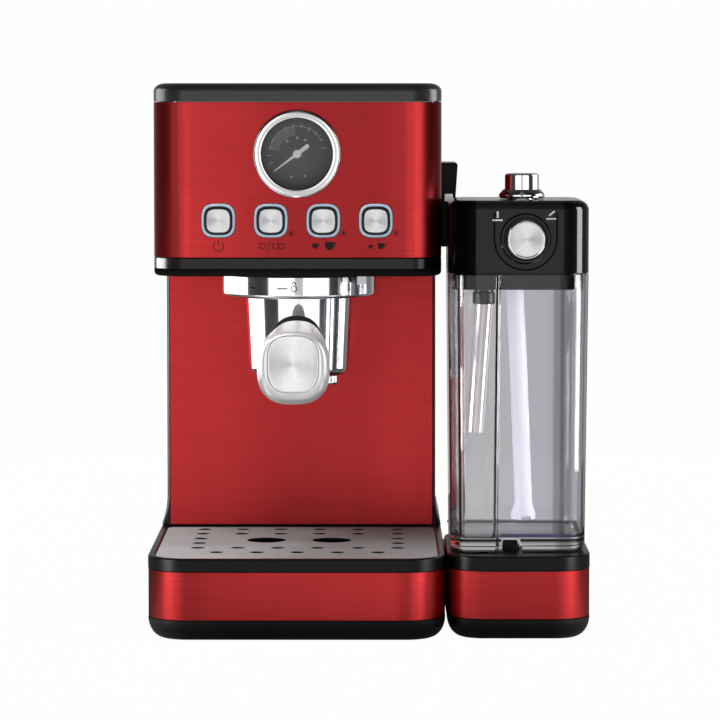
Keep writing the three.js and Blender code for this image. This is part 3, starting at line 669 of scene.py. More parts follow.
def main_base():
    outline = base_outline(0, BASE_HALF, 0, BASE_BACK, BASE_CORNER)
    band_top = mm_box("base_band")[1].z + GAP
    band_end = mm_box("base_band")[1].y
    pocket_floor = 11.6
    piece("lower_pan", stack(pan_levels(), outline), "black", replaces=["base_pan"])
    band = u_sheet(0, BASE_HALF, 0, band_end, BASE_CORNER, 0.15, SHEET, BAND_LOW + GAP, band_top - GAP)
    piece("red_base_band", band, "red_band", replaces=["base_band"], bevel=0.25)

    def pocket(inset):
        return ring(0, BASE_HALF - RIM, RIM, PLATE_HIGH.y + 0.5, BASE_CORNER - RIM, 4, inset)

    rings = level_rings(outline, [(BAND_LOW + GAP, 1.6), (band_top, 1.6), (band_top, 0)])
    rings += level_rings(outline, high_fillet(BASE_TOP, 0.9, 0.9, 4))
    rings += level_rings(pocket, [(BASE_TOP, -0.5), (BASE_TOP - 0.5, 0), (pocket_floor, 0)])
    frame_top = rings_to_mesh(rings)
    rear = prism(rear_path(BASE_HALF, band_end + GAP, BASE_BACK, BASE_CORNER), BAND_LOW + GAP, band_top)
    piece("upper_frame", merged(frame_top, rear), "rim", replaces=["base_frame"])


def rear_path(half, y0, y1, corner, thick=4, steps=14):
    """Closed outline of the black wall round the back of the base."""
    def path(inset):
        points = [(half - inset, y0)]
        for cx, start in ((half - corner, 0), (-half + corner, 90)):
            for i in range(steps + 1):
                a = math.radians(start + 90 * i / steps)
                r = corner - inset
                points.append((cx + r * math.cos(a), y1 - corner + r * math.sin(a)))
        return points + [(-half + inset, y0)]
    return path(0) + path(thick)[::-1]


def drip_parts():
    low, high = mm_box("drip_tray")

    def tray(inset):
        return ring(0, high.x, low.y, high.y, BASE_CORNER - RIM, 4, inset)

    levels = low_fillet(low.z, 2.4, 2.4, 5) + [(high.z, 0), (high.z, 1.8), (low.z + 4.4, 2), (low.z + 2, 4)]
    piece("tray_pan", stack(levels, tray), "black", "drip_tray", ["drip_tray"])
    # Each row of drip holes: its depth, and the columns that hold a hole.
    sixes = (-2.5, -1.5, -0.5, 0.5, 1.5, 2.5)
    rows = (
        (35, (-2, -1, 0, 1, 2)), (52.5, sixes), (71.5, (-2.5, 2.5)), (90, (-2.5, 2.5)), (110.5, sixes),
        (129.5, sixes),
    )
    pitch, hole_r, finger_r, finger_y = 21, 3.75, 10.5, 84
    cut_low, cut_high = 30, 50
    places = [(column * pitch, y) for y, columns in rows for column in columns]
    holes = [pillar(hole_r, x, y, cut_low, cut_high, 28) for x, y in places]
    holes += [pillar(finger_r, x, finger_y, cut_low, cut_high, 64) for x in (-17.4, 17.4)]
    cuts = [merged(*holes)]
    skin = 0.3
    plate = stack([(PLATE_HIGH.z - skin, 0.1), (PLATE_HIGH.z, 0.1)], tray)
    piece("perforated_plate", plate, "plate", "drip_plate", ["drip_plate"], cuts=cuts)
    # Painted shade: below its thin top skin the plate is matte black, so the walls of its holes read dark.
    under = stack([(PLATE_LOW.z, 0.1), (PLATE_HIGH.z - skin, 0.1)], tray)
    piece("plate_painted_shade_under", under, "rubber", "drip_plate", cuts=cuts)


# ---------------------------------------------------------------- column and head


def column():
    low_z = mm_box("column_shell")[0].z
    flare_height, wall, seat_half = 16, 2.4, 72.2

    def flare(z):
        return COLUMN_HALF + (BASE_HALF - COLUMN_HALF) * math.exp(-(((z - low_z) / 7.0) ** 1.4))

    heights = [low_z + flare_height * (i / 16) for i in range(17)] + [COLUMN_TOP]

    def section(z, inset):
        half = flare(z) - inset
        seat, front = seat_half - inset * 0.2, COLUMN_FRONT + inset
        recess = COLUMN_FRONT + SHEET + GAP + inset
        r = 1.2
        right = [
            (seat, recess), (seat, front), (half - r, front), (half - 0.3 * r, front + 0.3 * r),
            (half, front + r), (half, BODY_BACK),
        ]
        return right + [(-x, y) for x, y in reversed(right)]

    outer = [[(x, y, z) for x, y in section(z, 0)] for z in heights]
    inner = [[(x, y, z) for x, y in section(z, wall)] for z in reversed(heights)]
    sides = rings_to_mesh(outer + inner, closed=True)
    piece("column_sides", sides, "black", replaces=["column_shell"])
    panel = cuboid(-72, 72, COLUMN_FRONT, COLUMN_FRONT + SHEET, low_z, COLUMN_TOP)
    piece("red_front_panel", panel, "red_panel", replaces=["column_panel"], bevel=0.2)


def head_outline(inset):
    return ring(0, HEAD_HALF, HEAD_FRONT, BODY_BACK, HEAD_CORNER, 3, inset)


def head():
    lip = BEZEL_LOW.z + 3.7
    levels = [(lip, 0.5), (lip + 0.4, 0)] + high_fillet(BEZEL_HIGH.z, 0.5, 0.5, 3)
    lower_frame = stack(levels + [(BEZEL_HIGH.z, 4), (lip, 4)], head_outline)
    piece("head_lower_frame", lower_frame, "gloss_frame", replaces=["head_bezel"])
    # Painted shade: a matte black strip under the lower frame stands in for the dark line of shade along the
    # head's lower edge.
    levels = low_fillet(BEZEL_LOW.z, 2.4, 2.6, 6) + [(lip, 0), (lip, 5), (BEZEL_LOW.z + 0.6, 6)]
    piece("head_lower_shade_strip", stack(levels, head_outline), "rubber")
    wrap = u_sheet(0, HEAD_HALF, HEAD_FRONT, WRAP_HIGH.y, HEAD_CORNER, 0, SHEET, WRAP_LOW.z, WRAP_HIGH.z)
    holes = [disc(21.4, 0, GAUGE_Z, 30, 50)]
    holes += [extruded(squircle(18.0, x, BUTTON_Z), 30, 50) for x in BUTTON_X]
    piece("red_head_wrap", wrap, "red_face", replaces=["head_wrap"], bevel=0.2, cuts=holes)
    top_cap()
    cup_plate()


def top_cap():
    seat_floor, under_side = 281.2, 278

    def seat(inset):
        return ring(0, 62, 54, 212, 8, 8, inset)

    rings = level_rings(head_outline, [(CAP_LOW.z, 2.4), (CAP_LOW.z, 0.3), (CAP_LOW.z + 0.3, 0)])
    rings += level_rings(head_outline, high_fillet(CAP_HIGH.z, 4.2, 6, 10))
    rings += level_rings(seat, [(CAP_HIGH.z, -0.6), (CAP_HIGH.z - 0.6, 0), (seat_floor, 0)])
    rings += level_rings(seat, [(seat_floor, 6), (under_side, 6)])
    rings += level_rings(head_outline, [(under_side, 2.4)])
    cap = rings_to_mesh(rings, closed=True)
    piece("head_top_cap", cap, "cap", replaces=["head_cap"])


def cup_plate():
    low, high = mm_box("cup_plate")
    slots = [prism(ring(x, 12, y, y + 4, 1.9), 270, 290) for y in range(70, 205, 21) for x in (-36, 0, 36)]
    top = stack([(low.z, 0), (high.z, 0)], lambda i: ring(0, high.x, low.y, high.y, 8, 8, i))
    piece("cup_warming_plate", top, "plate", replaces=["cup_plate"], bevel=0.25,
          cuts=[merged(*slots)])


def rear_side():
    low, high = mm_box("rear_cover")
    vents = [cuboid(-30, 30, low.y - 5, high.y + 5, z, z + 3.5) for z in (225, 234, 243, 252, 261)]
    cover = cuboid(low.x, high.x, low.y, high.y, low.z, high.z)
    piece("back_cover", cover, "black", replaces=["rear_cover"], bevel=0.5,
          cuts=[merged(*vents)])
    tank()
    cord_inlet()


def tank():
    def outline(inset):
        return ring(0, TANK_HIGH.x, TANK_LOW.y, TANK_HIGH.y, 4, 18, inset)

    floor_z = mm_box("base_frame")[1].z + GAP
    levels = low_fillet(floor_z, 1.8, 1.8, 5) + [(TANK_HIGH.z, 0), (TANK_HIGH.z, 2.2)]
    levels += [(floor_z + 4, 2.2), (floor_z + 2.6, 4)]
    valve = pillar(5.4, 0, 262, TANK_LOW.z, floor_z + 3)
    piece("smoke_tank", stack(levels, outline), "smoke", "water_tank", ["water_tank"],
          joins=[valve])
    low, high = mm_box("tank_lid")
    levels = [(low.z, 0.4), (low.z + 0.4, 0)] + high_fillet(high.z, 2.2, 2.2, 6)
    grip_way = prism(ring(0, 22, 240, 252, 5.9), high.z - 1.6, high.z + 2)
    piece("water_tank_lid", stack(levels, outline), "black", "tank_lid", ["tank_lid"],
          cuts=[grip_way], bevel=0.3)


def cord_inlet():
    low, high = mm_box("cord_gland")
    x, z = (low.x + high.x) / 2, (low.z + high.z) / 2
    back, inside, well = high.y, 290, 296
    profile = [
        (0, inside), (6.8, inside), (6.8, BASE_BACK + GAP), (8.4, BASE_BACK + GAP), (8.6, BASE_BACK + 0.6),
        (8.2, BASE_BACK + 1.6), (7.4, back), (4.2, back), (4, back - 0.4), (4, well), (0, well),
    ]
    gland = lathe(profile, (x, z), "Y", 64)
    piece("cord_inlet_gland", gland, "rubber", replaces=["cord_gland"])


FEET = (
    "foot_front_left", "foot_front_right", "foot_rear_left", "foot_rear_right",
    "milk_foot_front", "milk_foot_rear",
)


def feet():
    for name in FEET:
        low, high = mm_box(name)
        r = (high.x - low.x) / 2
        profile = [
            (0, low.z + 0.5), (r - 3, low.z + 0.5), (r - 3.4, low.z), (r - 0.6, low.z), (r, low.z + 0.6),
            (r, high.z), (0, high.z),
        ]
        centre = ((low.x + high.x) / 2, (low.y + high.y) / 2)
        foot = lathe(profile, centre, "Z", 48)
        piece("rubber_" + name, foot, "rubber", replaces=[name])


# ---------------------------------------------------------------- gauge, buttons and icons


def gauge():
    low, high = mm_box("gauge_bezel")
    r, front = high.x, low.y
    seat, tail = HEAD_FRONT - GAP, 46
    centre = (0, GAUGE_Z)
    profile = [
        (18.4, front + 0.8), (18.7, front + 0.25), (19.3, front), (21.3, front), (22.1, front + 0.35),
        (22.7, front + 1.1), (r, front + 2.0), (r, seat), (20.7, seat), (20.7, tail), (19.3, tail),
        (19.3, 39), (18.4, 38.6), (18.4, front + 0.8),
    ]
    bezel = lathe(profile, centre, "Y", 128)
    piece("gauge_ring", bezel, "bezel", replaces=["gauge_bezel"])
    lens = lathe([(0, 39.3), (10, 39.35), (18.6, 39.5), (19, 39.6), (19, 40), (0, 40)], centre, "Y", 96)
    piece("gauge_glass", lens, "glass", replaces=["gauge_lens"])
    profile = [(0, DIAL_LOW.y), (18.9, DIAL_LOW.y), (18.9, DIAL_HIGH.y), (0, DIAL_HIGH.y)]
    face = lathe(profile, centre, "Y", 96)
    piece("gauge_face", face, "dial", replaces=["gauge_dial"])
    wall = lathe([(18.95, 40.2), (18.95, 43.1), (18.2, 43.1), (18.2, 40.2), (18.95, 40.2)], centre, "Y", 96)
    piece("gauge_inner_wall", wall, "rim")
    needle()
    dial_marks()


def dial_point(r, degrees):
    """A dial point; degrees run clockwise from the top."""
    a = math.radians(degrees)
    return r * math.sin(a), GAUGE_Z + r * math.cos(a)


def dial_arc(r0, r1, start, end, steps=30):
    outer = [dial_point(r1, start + (end - start) * i / steps) for i in range(steps + 1)]
    inner = [dial_point(r0, start + (end - start) * i / steps) for i in range(steps + 1)]
    return outer + inner[::-1]


def dial_marks():
    y1 = DIAL_LOW.y
    y0 = y1 - 0.1
    band = extruded(dial_arc(9.6, 14.2, -82, -5), y1 - 0.06, y1)
    piece("gauge_band", band, "dial_light")
    marks = [extruded(dial_arc(14.2, 14.6, -82, 62, 48), y0, y1)]
    first_tick, tick_step = -127, 17
    for k in range(13):
        angle = first_tick + tick_step * k
        short = 13.4 if k % 3 else 12.6
        marks.append(extruded(dial_arc(short, 15.4, angle - 0.9, angle + 0.9, 2), y0, y1))
    for angle in (-38, 0, 30):
        marks.append(extruded(dial_arc(7.6, 9.0, angle - 4, angle + 4, 3), y0, y1))
    for x, z in ((-2.9, -11.8), (4.0, -11.4)):
        marks.append(disc(0.6, x, GAUGE_Z + z, y0, y1, 16))
    piece("gauge_marks", merged(*marks), "dial_print")


def needle():
    low, high = mm_box("gauge_needle")
    rest = math.radians(233)
    y0, y1 = 41.2, 41.8
    left = [(-0.22, 14.6), (-0.62, 2.2), (-0.85, 0), (-0.95, -2), (-1.05, -7.2), (-0.7, -7.5)]
    outline = left + [(-x, z) for x, z in reversed(left)]
    c, s = math.cos(rest), math.sin(rest)
    turned = [(x * c + z * s, GAUGE_Z - x * s + z * c) for x, z in outline]
    hub_profile = [(0, low.y), (1.5, low.y), (2.1, low.y + 0.4), (2.1, high.y), (0, high.y)]
    hub = lathe(hub_profile, (0, GAUGE_Z), "Y", 40)
    blade = extruded(turned, y0, y1)
    piece("gauge_pointer", blade, "cream", "gauge_needle", ["gauge_needle"], joins=[hub])


def buttons():
    parts = []
    front = mm_box("light_guide")[0].y
    surround = [
        (front + 3.4, 14.8), (front + 0.5, 14.8), (front + 0.1, 15.0), (front, 15.4), (front, 16.7),
        (front + 0.15, 17.2), (front + 0.6, 17.5), (front + 3.4, 17.5),
    ]
    for x in BUTTON_X:
        rings = upright_rings(lambda size: squircle(size, x, BUTTON_Z), surround)
        parts.append(rings_to_mesh(rings, closed=True))
    piece("lit_surrounds", merged(*parts), "lit", replaces=["light_guide"])
    for i, (low, high) in enumerate(BUTTON_BOXES, 1):
        button(i, low.y, high.x - low.x)
    well = merged(*[extruded(squircle(15.0, x, BUTTON_Z), front + 3.0, front + 3.3) for x in BUTTON_X])
    piece("button_wells", well, "rim")


def button(i, y0, size):
    def outline(wide):
        return squircle(wide, BUTTON_X[i - 1], BUTTON_Z)

    cap = [
        (y0 + 0.12, 0.5), (y0 + 0.1, size * 0.5), (y0 + 0.02, size - 2.9), (y0, size - 2.4),
        (y0 + 0.15, size - 1.9), (y0 + 0.5, size - 1.7), (y0 + 5.2, size - 1.7),
    ]
    cap_mesh = rings_to_mesh(upright_rings(outline, cap))
    piece(f"button_cap_{i}", cap_mesh, "disc_small", f"button_{i}", [f"button_{i}"])
    edge = [
        (y0 + 0.9, size - 2.0), (y0 + 0.9, size - 0.3), (y0 + 1.2, size), (y0 + 5.0, size),
        (y0 + 5.0, size - 2.0),
    ]
    edge_mesh = rings_to_mesh(upright_rings(outline, edge), closed=True)
    piece(f"button_edge_{i}", edge_mesh, "groove", f"button_{i}")


def cup_icon(x, z, size):
    """A small cup with its handle, as outlines of (x, z) points; size is the cup's width."""
    half = size / 2
    bowl = [(x - half, z + 0.42 * size), (x - 0.8 * half, z - 0.1 * size), (x - 0.45 * half, z - 0.38 * size),
            (x + 0.45 * half, z - 0.38 * size), (x + 0.8 * half, z - 0.1 * size), (x + half, z + 0.42 * size)]
    handle = []
    for r in (0.24 * size, 0.13 * size):
        arc = [(x + 0.92 * half + r * math.cos(a), z + 0.12 * size + r * math.sin(a)) for a in
               (math.radians(d) for d in range(-80, 100, 20))]
        handle += arc if not handle else arc[::-1]
    return [bowl[::-1], handle[::-1]]


def bar(x0, z0, x1, z1, wide):
    """A straight stroke between two points."""
    d = Vector((x1 - x0, z1 - z0)).normalized()
    n = Vector((-d.y, d.x)) * wide / 2
    return [(x0 + n.x, z0 + n.y), (x1 + n.x, z1 + n.y), (x1 - n.x, z1 - n.y), (x0 - n.x, z0 - n.y)]


def arc_stroke(x, z, r, wide, start, end, steps=24):
    points = []
    for radius in (r + wide / 2, r - wide / 2):
        arc = [math.radians(start + (end - start) * i / steps) for i in range(steps + 1)]
        side = [(x + radius * math.cos(a), z + radius * math.sin(a)) for a in arc]
        points += side if not points else side[::-1]
    return points


def printed(strokes, y):
    """Outlines of (x, z) points as thin prints on a face at y."""
    return merged(*[extruded(stroke, y - 0.05, y + 0.02) for stroke in strokes])


def lamp_mark(x, z):
    """A small mark beside a button: a dot between two arcs."""
    return [
        arc_stroke(x, z, 0.5, 0.6, 0, 360), arc_stroke(x, z, 1.4, 0.3, 20, 160),
        arc_stroke(x, z, 1.4, 0.3, 200, 340),
    ]


def glass_icon(x, z, wide):
    """Four strokes of a small tapered glass."""
    top, foot, line = z + 0.42 * wide, z - 0.4 * wide, 0.45
    left, right, foot_left, foot_right = x - wide / 2, x + wide / 2, x - wide / 3, x + wide / 3
    return [
        bar(left, top, right, top, line), bar(left, top, foot_left, foot, line),
        bar(right, top, foot_right, foot, line), bar(foot_left, foot, foot_right, foot, line),
    ]


def icons():
    z = mm_box("head_wrap")[0].z + 5.9
    x1, x2, x3, x4 = BUTTON_X
    pale = [arc_stroke(x1, z, 2.6, 0.5, -235, 55), bar(x1, z + 0.4, x1, z + 3.2, 0.5)]
    for x, wide in ((x2 - 4.4, 3.4), (x2 + 2.4, 3.0), (x2 + 5.4, 3.2)):
        pale += glass_icon(x, z, wide)
    pale += [bar(x2 - 1.6, z - 2.6, x2 - 0.3, z + 2.8, 0.5)]
    for x in (x2, x3, x4):
        pale += lamp_mark(x + 10.6, BUTTON_Z - 6.4)
    strokes = cup_icon(x3 - 4.3, z, 3.4) + cup_icon(x3 + 3.2, z, 5.2)
    strokes += cup_icon(x4 - 2.8, z - 0.4, 2.4) + cup_icon(x4 + 2.6, z, 3.8)
    piece("panel_icons", printed(strokes, HEAD_FRONT), "ink")
    piece("panel_icons_red", printed(pale, HEAD_FRONT), "ink_red")


# ---------------------------------------------------------------- brew group and portafilter


def collar():
    z0, z1 = COLLAR_LOW.z, COLLAR_HIGH.z
    r = COLLAR_R
    profile = [
        (31.2, z0 + 0.3), (31.5, z0), (r - 2.0, z0), (r - 0.9, z0 + 0.35), (r - 0.25, z0 + 1.1),
        (r, z0 + 2.0), (r, z1 - 1.1), (r - 0.3, z1 - 0.4), (r - 1, z1), (34.6, z1), (34.6, z0 + 3),
        (31.2, z0 + 3), (31.2, z0 + 0.3),
    ]
    notch = cuboid(31.0, 39.5, GROUP_Y - 31, GROUP_Y - 20, z1 - 5.2, z1 + 2)
    piece("chrome_collar", lathe(profile, (0, GROUP_Y), "Z", 160), "chrome", replaces=["brew_collar"],
          cuts=[notch])
    collar_marks()


def collar_marks():
    """A dash and an open lock, printed on the collar's round front."""
    lock_x, ring_z, shackle_z = -1.9, 176.1, 178.6
    marks = [bar(x, 176.2, x + 0.9, 176.2, 0.6) for x in (-10.6, -9.7, -8.8, -7.9, -7.0, -6.1)]
    marks += [arc_stroke(lock_x, ring_z, 1.5, 0.5, start, start + 90) for start in (0, 90, 180, 270)]
    marks += [arc_stroke(lock_x, shackle_z, 0.95, 0.5, start, start + 110) for start in (-20, 90)]
    marks += [bar(-25.0, 176.6, -22.4, 176.2, 0.8)]
    parts = []
    for outline in marks:
        rings = []
        for lift in (-0.05, 0.04):
            r = COLLAR_R + lift
            rings.append([(x, GROUP_Y - math.sqrt(r ** 2 - x * x), z) for x, z in outline])
        parts.append(rings_to_mesh(rings))
    piece("collar_marks", merged(*parts), "ink")


def superellipse(wide, low, high, power, segments=72):
    points = []
    for a in angles_of(segments):
        c, s = math.cos(a), math.sin(a)
        x = wide / 2 * math.copysign(abs(c) ** (2 / power), c)
        z = (low + high) / 2 + (high - low) / 2 * math.copysign(abs(s) ** (2 / power), s)
        points.append((x, z))
    return points


def elliptic_skin(rows):
    """Skin through (y, wide, low, high, power) rows of upright superellipses."""
    return rings_to_mesh([[(x, row[0], z) for x, z in superellipse(*row[1:])] for row in rows])


def lofted(sections, between=6):
    """Skin through (y, wide, low, high, power) sections, with smooth steps in between."""
    dense = []
    n = len(sections)
    for i in range(n - 1):
        p0, p1, p2, p3 = (sections[max(0, min(n - 1, i + k))] for k in (-1, 0, 1, 2))
        for step in range(between):
            t = step / between
            dense.append([hermite(a, b, c, d, t) for a, b, c, d in zip(p0, p1, p2, p3)])
    dense.append(list(sections[-1]))
    return elliptic_skin(dense)


def hermite(a, b, c, d, t):
    """Catmull-Rom value between b and c."""
    square = (2 * a - 5 * b + 4 * c - d) * t * t
    return 0.5 * (2 * b + (c - a) * t + square + (3 * b - a - 3 * c + d) * t ** 3)

def portafilter():
    low, high = mm_box("portafilter_bowl")
    r, top = 28.35, high.z
    profile = [
        (0, low.z), (22.6, low.z), (24.4, low.z + 0.3), (25.6, low.z + 1.1), (26.3, low.z + 2.4),
        (26.55, low.z + 4), (r, 170), (29.2, 174.4), (29.2, top), (25.9, top), (25.9, 138), (20, 133),
        (0, 133),
    ]
    lug_ends = ((26.4, 33.2), (-33.2, -26.4))
    lugs = [cuboid(x0, x1, GROUP_Y - 5, GROUP_Y + 5, 174.0, 177.4) for x0, x1 in lug_ends]
    bowl = lathe(profile, (0, GROUP_Y), "Z", 160)
    piece("chrome_bowl", bowl, "chrome", "portafilter", ["portafilter_bowl"], joins=lugs)
    low, high = mm_box("spout")

    def bar_outline(inset):
        return ring(0, high.x, low.y, high.y, 6.5, 6.5, inset)

    levels = low_fillet(low.z, 1.2, 1.0, 4) + high_fillet(high.z, 0.8, 0.8, 4)
    ways = [pillar(3, side * 14, GROUP_Y, 118, 126.5, 32) for side in (-1, 1)]
    ways.append(cuboid(-8, 8, low.y - 3, high.y + 3, 120, 125.4))
    spout = stack(levels, bar_outline)
    piece("twin_spout", spout, "chrome", "portafilter", ["spout"], cuts=ways)
    low, high = mm_box("handle_neck")
    neck = lofted([
        (low.y, 27, 132, 163.6, 2.3), (low.y + 6, 24, 135, 162.4, 2.3), (45, 17, 139, 159, 2.3),
        (66, 15, 142, 157, 2.4),
    ])
    core = pillar(r + GAP, 0, GROUP_Y, 100, 200, 96)
    sleeve = piece("black_neck", neck, "rim", "portafilter", ["handle_neck"], cuts=[core])
    sleeve.visible_glossy = False
    grip()


def grip():
    low, high = mm_box("handle")
    wide = high.x - low.x
    y0, y1 = low.y, high.y
    b, t = low.z, high.z
    end = []
    for i in range(9):
        a = math.pi / 2 * i / 8
        slip = 1 - math.sin(a)
        y = y0 + 10 * (1 - math.cos(a))
        end.append((y, wide - 9.8 * slip, b + 6 * slip, t - 1.9 * slip, 2.9 - 0.3 * math.sin(a)))
    back = [
        (y0 + 32, wide - 1.6, b + 1.4, t, 2.6), (y0 + 60, 31.5, b + 5.0, t - 0.1, 2.5),
        (y1, 27.5, b + 7.4, t - 0.2, 2.4),
    ]
    body = lofted_mixed(end + back, len(end))
    low, high = mm_box("handle_cap")
    seat = elliptic_skin([(y, 25.9, low.z - 0.4, high.z + 0.4, 3.0) for y in (y0 - 3, y0 + 1.6)])
    piece("satin_grip", body, "satin", "portafilter", ["handle"], cuts=[seat])
    cap_power = 3.0
    rows = [(low.y + 0.35, 0.4, 145.1, 145.5, 2)]
    for y, grow in ((low.y + 0.12, -3), (low.y, -0.9), (low.y + 0.1, -0.3), (low.y + 0.4, 0), (high.y, 0)):
        rows.append((y, 25.1 + 2 * grow, low.z - grow, high.z + grow, cap_power))
    piece("brushed_end_cap", elliptic_skin(rows), "disc", "portafilter", ["handle_cap"])


def lofted_mixed(sections, rounded, between=8):
    """The first sections as they are, the rest joined smoothly."""
    first = [list(s) for s in sections[:rounded]]
    last = len(sections) - 1
    dense = []
    for i in range(rounded - 1, last):
        p0, p1, p2, p3 = (sections[max(0, min(last, i + k))] for k in (-1, 0, 1, 2))
        if i == rounded - 1:
            p0 = [2 * p1[0] - p2[0]] + list(p2[1:])
        for step in range(between):
            dense.append([hermite(a, b, c, d, step / between) for a, b, c, d in zip(p0, p1, p2, p3)])
    return elliptic_skin(first[:-1] + dense + [list(sections[-1])])


# ---------------------------------------------------------------- milk unit


def milk_base():
    y0, y1 = MILK_LOW.y, MILK_HIGH.y
    outline = base_outline(MILK_X, MILK_HALF, y0, y1, MILK_CORNER)
    band_low, band_high = mm_box("milk_band")
    pan = stack(pan_levels(), outline)
    piece("milk_lower_pan", pan, "black", replaces=["milk_pan"])
    band = closed_band(outline, 0.15, SHEET, band_low.z, band_high.z)
    piece("red_milk_band", band, "red", replaces=["milk_band"], bevel=0.25)
    shadow_gap = band_high.z + GAP
    solid = [(BAND_LOW + GAP, 1.6), (shadow_gap, 1.6), (shadow_gap, 0)] + high_fillet(DECK_TOP, 0.9, 0.9, 4)
    rail = prism(ring(MILK_X - 3, 4, 30, 86, 3.9), DECK_TOP - 1, 43.6)
    piece("milk_deck_top", stack(solid, outline), "rim", replaces=["milk_deck"],
          joins=[rail])
    catch = cuboid(106.6, 114.2, 27, 33, DECK_TOP - 0.5, 47.2)
    piece("jug_catch", catch, "rim", bevel=0.8)
    levels = [(DECK_TOP - 1, 0.9), (MILK_HIGH.z - 1.4, 0.9)] + high_fillet(MILK_HIGH.z, 1.4, 1.4, 5)
    front_way, right_way = cuboid(60, 160, 0, 96, 30, 60), cuboid(86, 160, 90, 130, 43, 60)
    piece("milk_back_stop", stack(levels, outline), "rim", cuts=[front_way, right_way],
          bevel=0.4)


def boss():
    low, high = mm_box("milk_boss")
    x0, x1 = low.x, high.x
    shoulder, front = 219, 96
    outline = [(x0, low.z), (x1, low.z), (x1, shoulder), (83.2, shoulder), (84.6, high.z), (x0, high.z)]
    port = lathe([(0, low.y), (4, low.y), (5, front + 1), (0, front + 1)], (90, 207), "Y", 40)
    tab = cuboid(77.3, 81.8, 92.9, 95.7, 220.2, 224.2)
    piece("boss_tab", tab, "satin", bevel=0.3)
    block = extruded(outline, front, high.y)
    piece("steam_boss", block, "rim", replaces=["milk_boss"], bevel=1.2, joins=[port])

def jug_outline(inset):
    """The jug in plan: a rounded square with a lobe standing forward at its front left."""
    x0, x1 = JUG_LOW.x, JUG_HIGH.x
    y0, y1 = JUG_LOW.y, JUG_HIGH.y
    face = y0 + 3
    lobe_left, lobe_right = 84.0, 104.6
    corners = [
        (x1, face, 13), (x1, y1, 13), (x0, y1, 13), (x0, y0 + 13, 7),
        (lobe_left, y0, 6), (lobe_right, y0, 2.2), (lobe_right, face, 0.7),
    ]
    return shrunk(filleted(corners, 10), inset)


def jug():
    z0, z1 = JUG_LOW.z, JUG_HIGH.z
    foot = 3.2

    def taper(z):
        return 1.5 * (z1 - z) / (z1 - z0)

    outer = [(z, i + 1.4) for z, i in low_fillet(z0, foot, 2.2, 6)]
    heights = [z0 + foot + (z1 - z0 - foot) * k / 8 for k in range(1, 9)]
    outer += [(z, taper(z)) for z in heights]
    inner = [(z1 - 0.3, 1.9)] + [(z, taper(z) + 2.0) for z in (170, 130, 90, 54)]
    inner += [(51, 3.6), (49.4, 4.0), (48.6, 4.6)]
    slot_way = cuboid(MILK_X - 8, MILK_X + 2, 0, 100, 30, 44.6)
    nub_way = cuboid(105.8, 115, 0, 34, 30, 47.8)
    wall = stack(outer + inner, jug_outline)
    piece("clear_jug", wall, "jug", "milk_jug", ["milk_jug"], cuts=[slot_way, nub_way])
    # Painted refraction: a violet bar along the jug's floor stands in for the line where its thick bottom
    # bends the light.
    edge = cuboid(105.5, JUG_HIGH.x - 9, JUG_LOW.y + 6.2, JUG_LOW.y + 6.6, 48.7, 50.6)
    piece("jug_floor_refraction_line", edge, "violet", "milk_jug")


def lid_outline(inset):
    return ring(MILK_X, (LID_HIGH.x - LID_LOW.x) / 2, LID_LOW.y, LID_HIGH.y, 13, 13, inset)


def knob_groove():
    """Outline of the groove that runs round the knob and up both its sides."""
    top = 217
    outline = []
    for r in (16.5, 15.6):
        turns = [math.radians(d) for d in range(180, 361, 6)]
        path = [(KNOB_X + r * math.cos(a), KNOB_Z + r * math.sin(a)) for a in turns]
        path = [(KNOB_X - r, top)] + path + [(KNOB_X + r, top)]
        outline += path if not outline else path[::-1]
    return outline


def lid():
    z0 = JUG_HIGH.z + GAP
    shell = [(z0 + 0.3, 0.3), (z0 + 0.6, 0)] + high_fillet(LID_HIGH.z, 5.2, 5.6, 10)
    skirt = [(LID_LOW.z, 5), (LID_LOW.z, 3.0), (z0 + 0.3, 3.0)]
    levels = [(z0 + 20, 5.2)] + skirt + shell
    y = LID_LOW.y
    groove = knob_groove()
    button_way, knob_way = pillar(7.6, CLEAN_X, CLEAN_Y, 214.2, 240), disc(4.6, KNOB_X, KNOB_Z, 10, 40)
    cuts = [extruded(groove, y - 1, y + 0.7), button_way, knob_way]
    shell_mesh = stack(levels, lid_outline)
    piece("frother_head", shell_mesh, "gloss_lid", "frother_lid", ["frother_lid"], cuts=cuts)
    piece("lid_groove", extruded(groove, y + 0.25, y + 0.7), "rubber", "frother_lid")
    seat = [
        (10.9, y + 0.1), (10.9, y - 1.2), (11.3, y - 1.7), (12.3, y - 1.7), (13.1, y - 0.9), (13.2, y + 0.1),
        (10.9, y + 0.1),
    ]
    knob_seat = lathe(seat, (KNOB_X, KNOB_Z), "Y", 96)
    piece("knob_seat", knob_seat, "gloss", "frother_lid")
    strokes = [
        bar(100.6, 212.9, 105.8, 212.9, 0.8), bar(103.2, 214.2, 103.2, 217.4, 0.9),
        bar(128.2, 213.6, 133.2, 213.6, 0.8), bar(129.6, 215.2, 132.4, 217.6, 0.9),
    ]
    piece("lid_icons", printed(strokes, y), "white", "frother_lid")


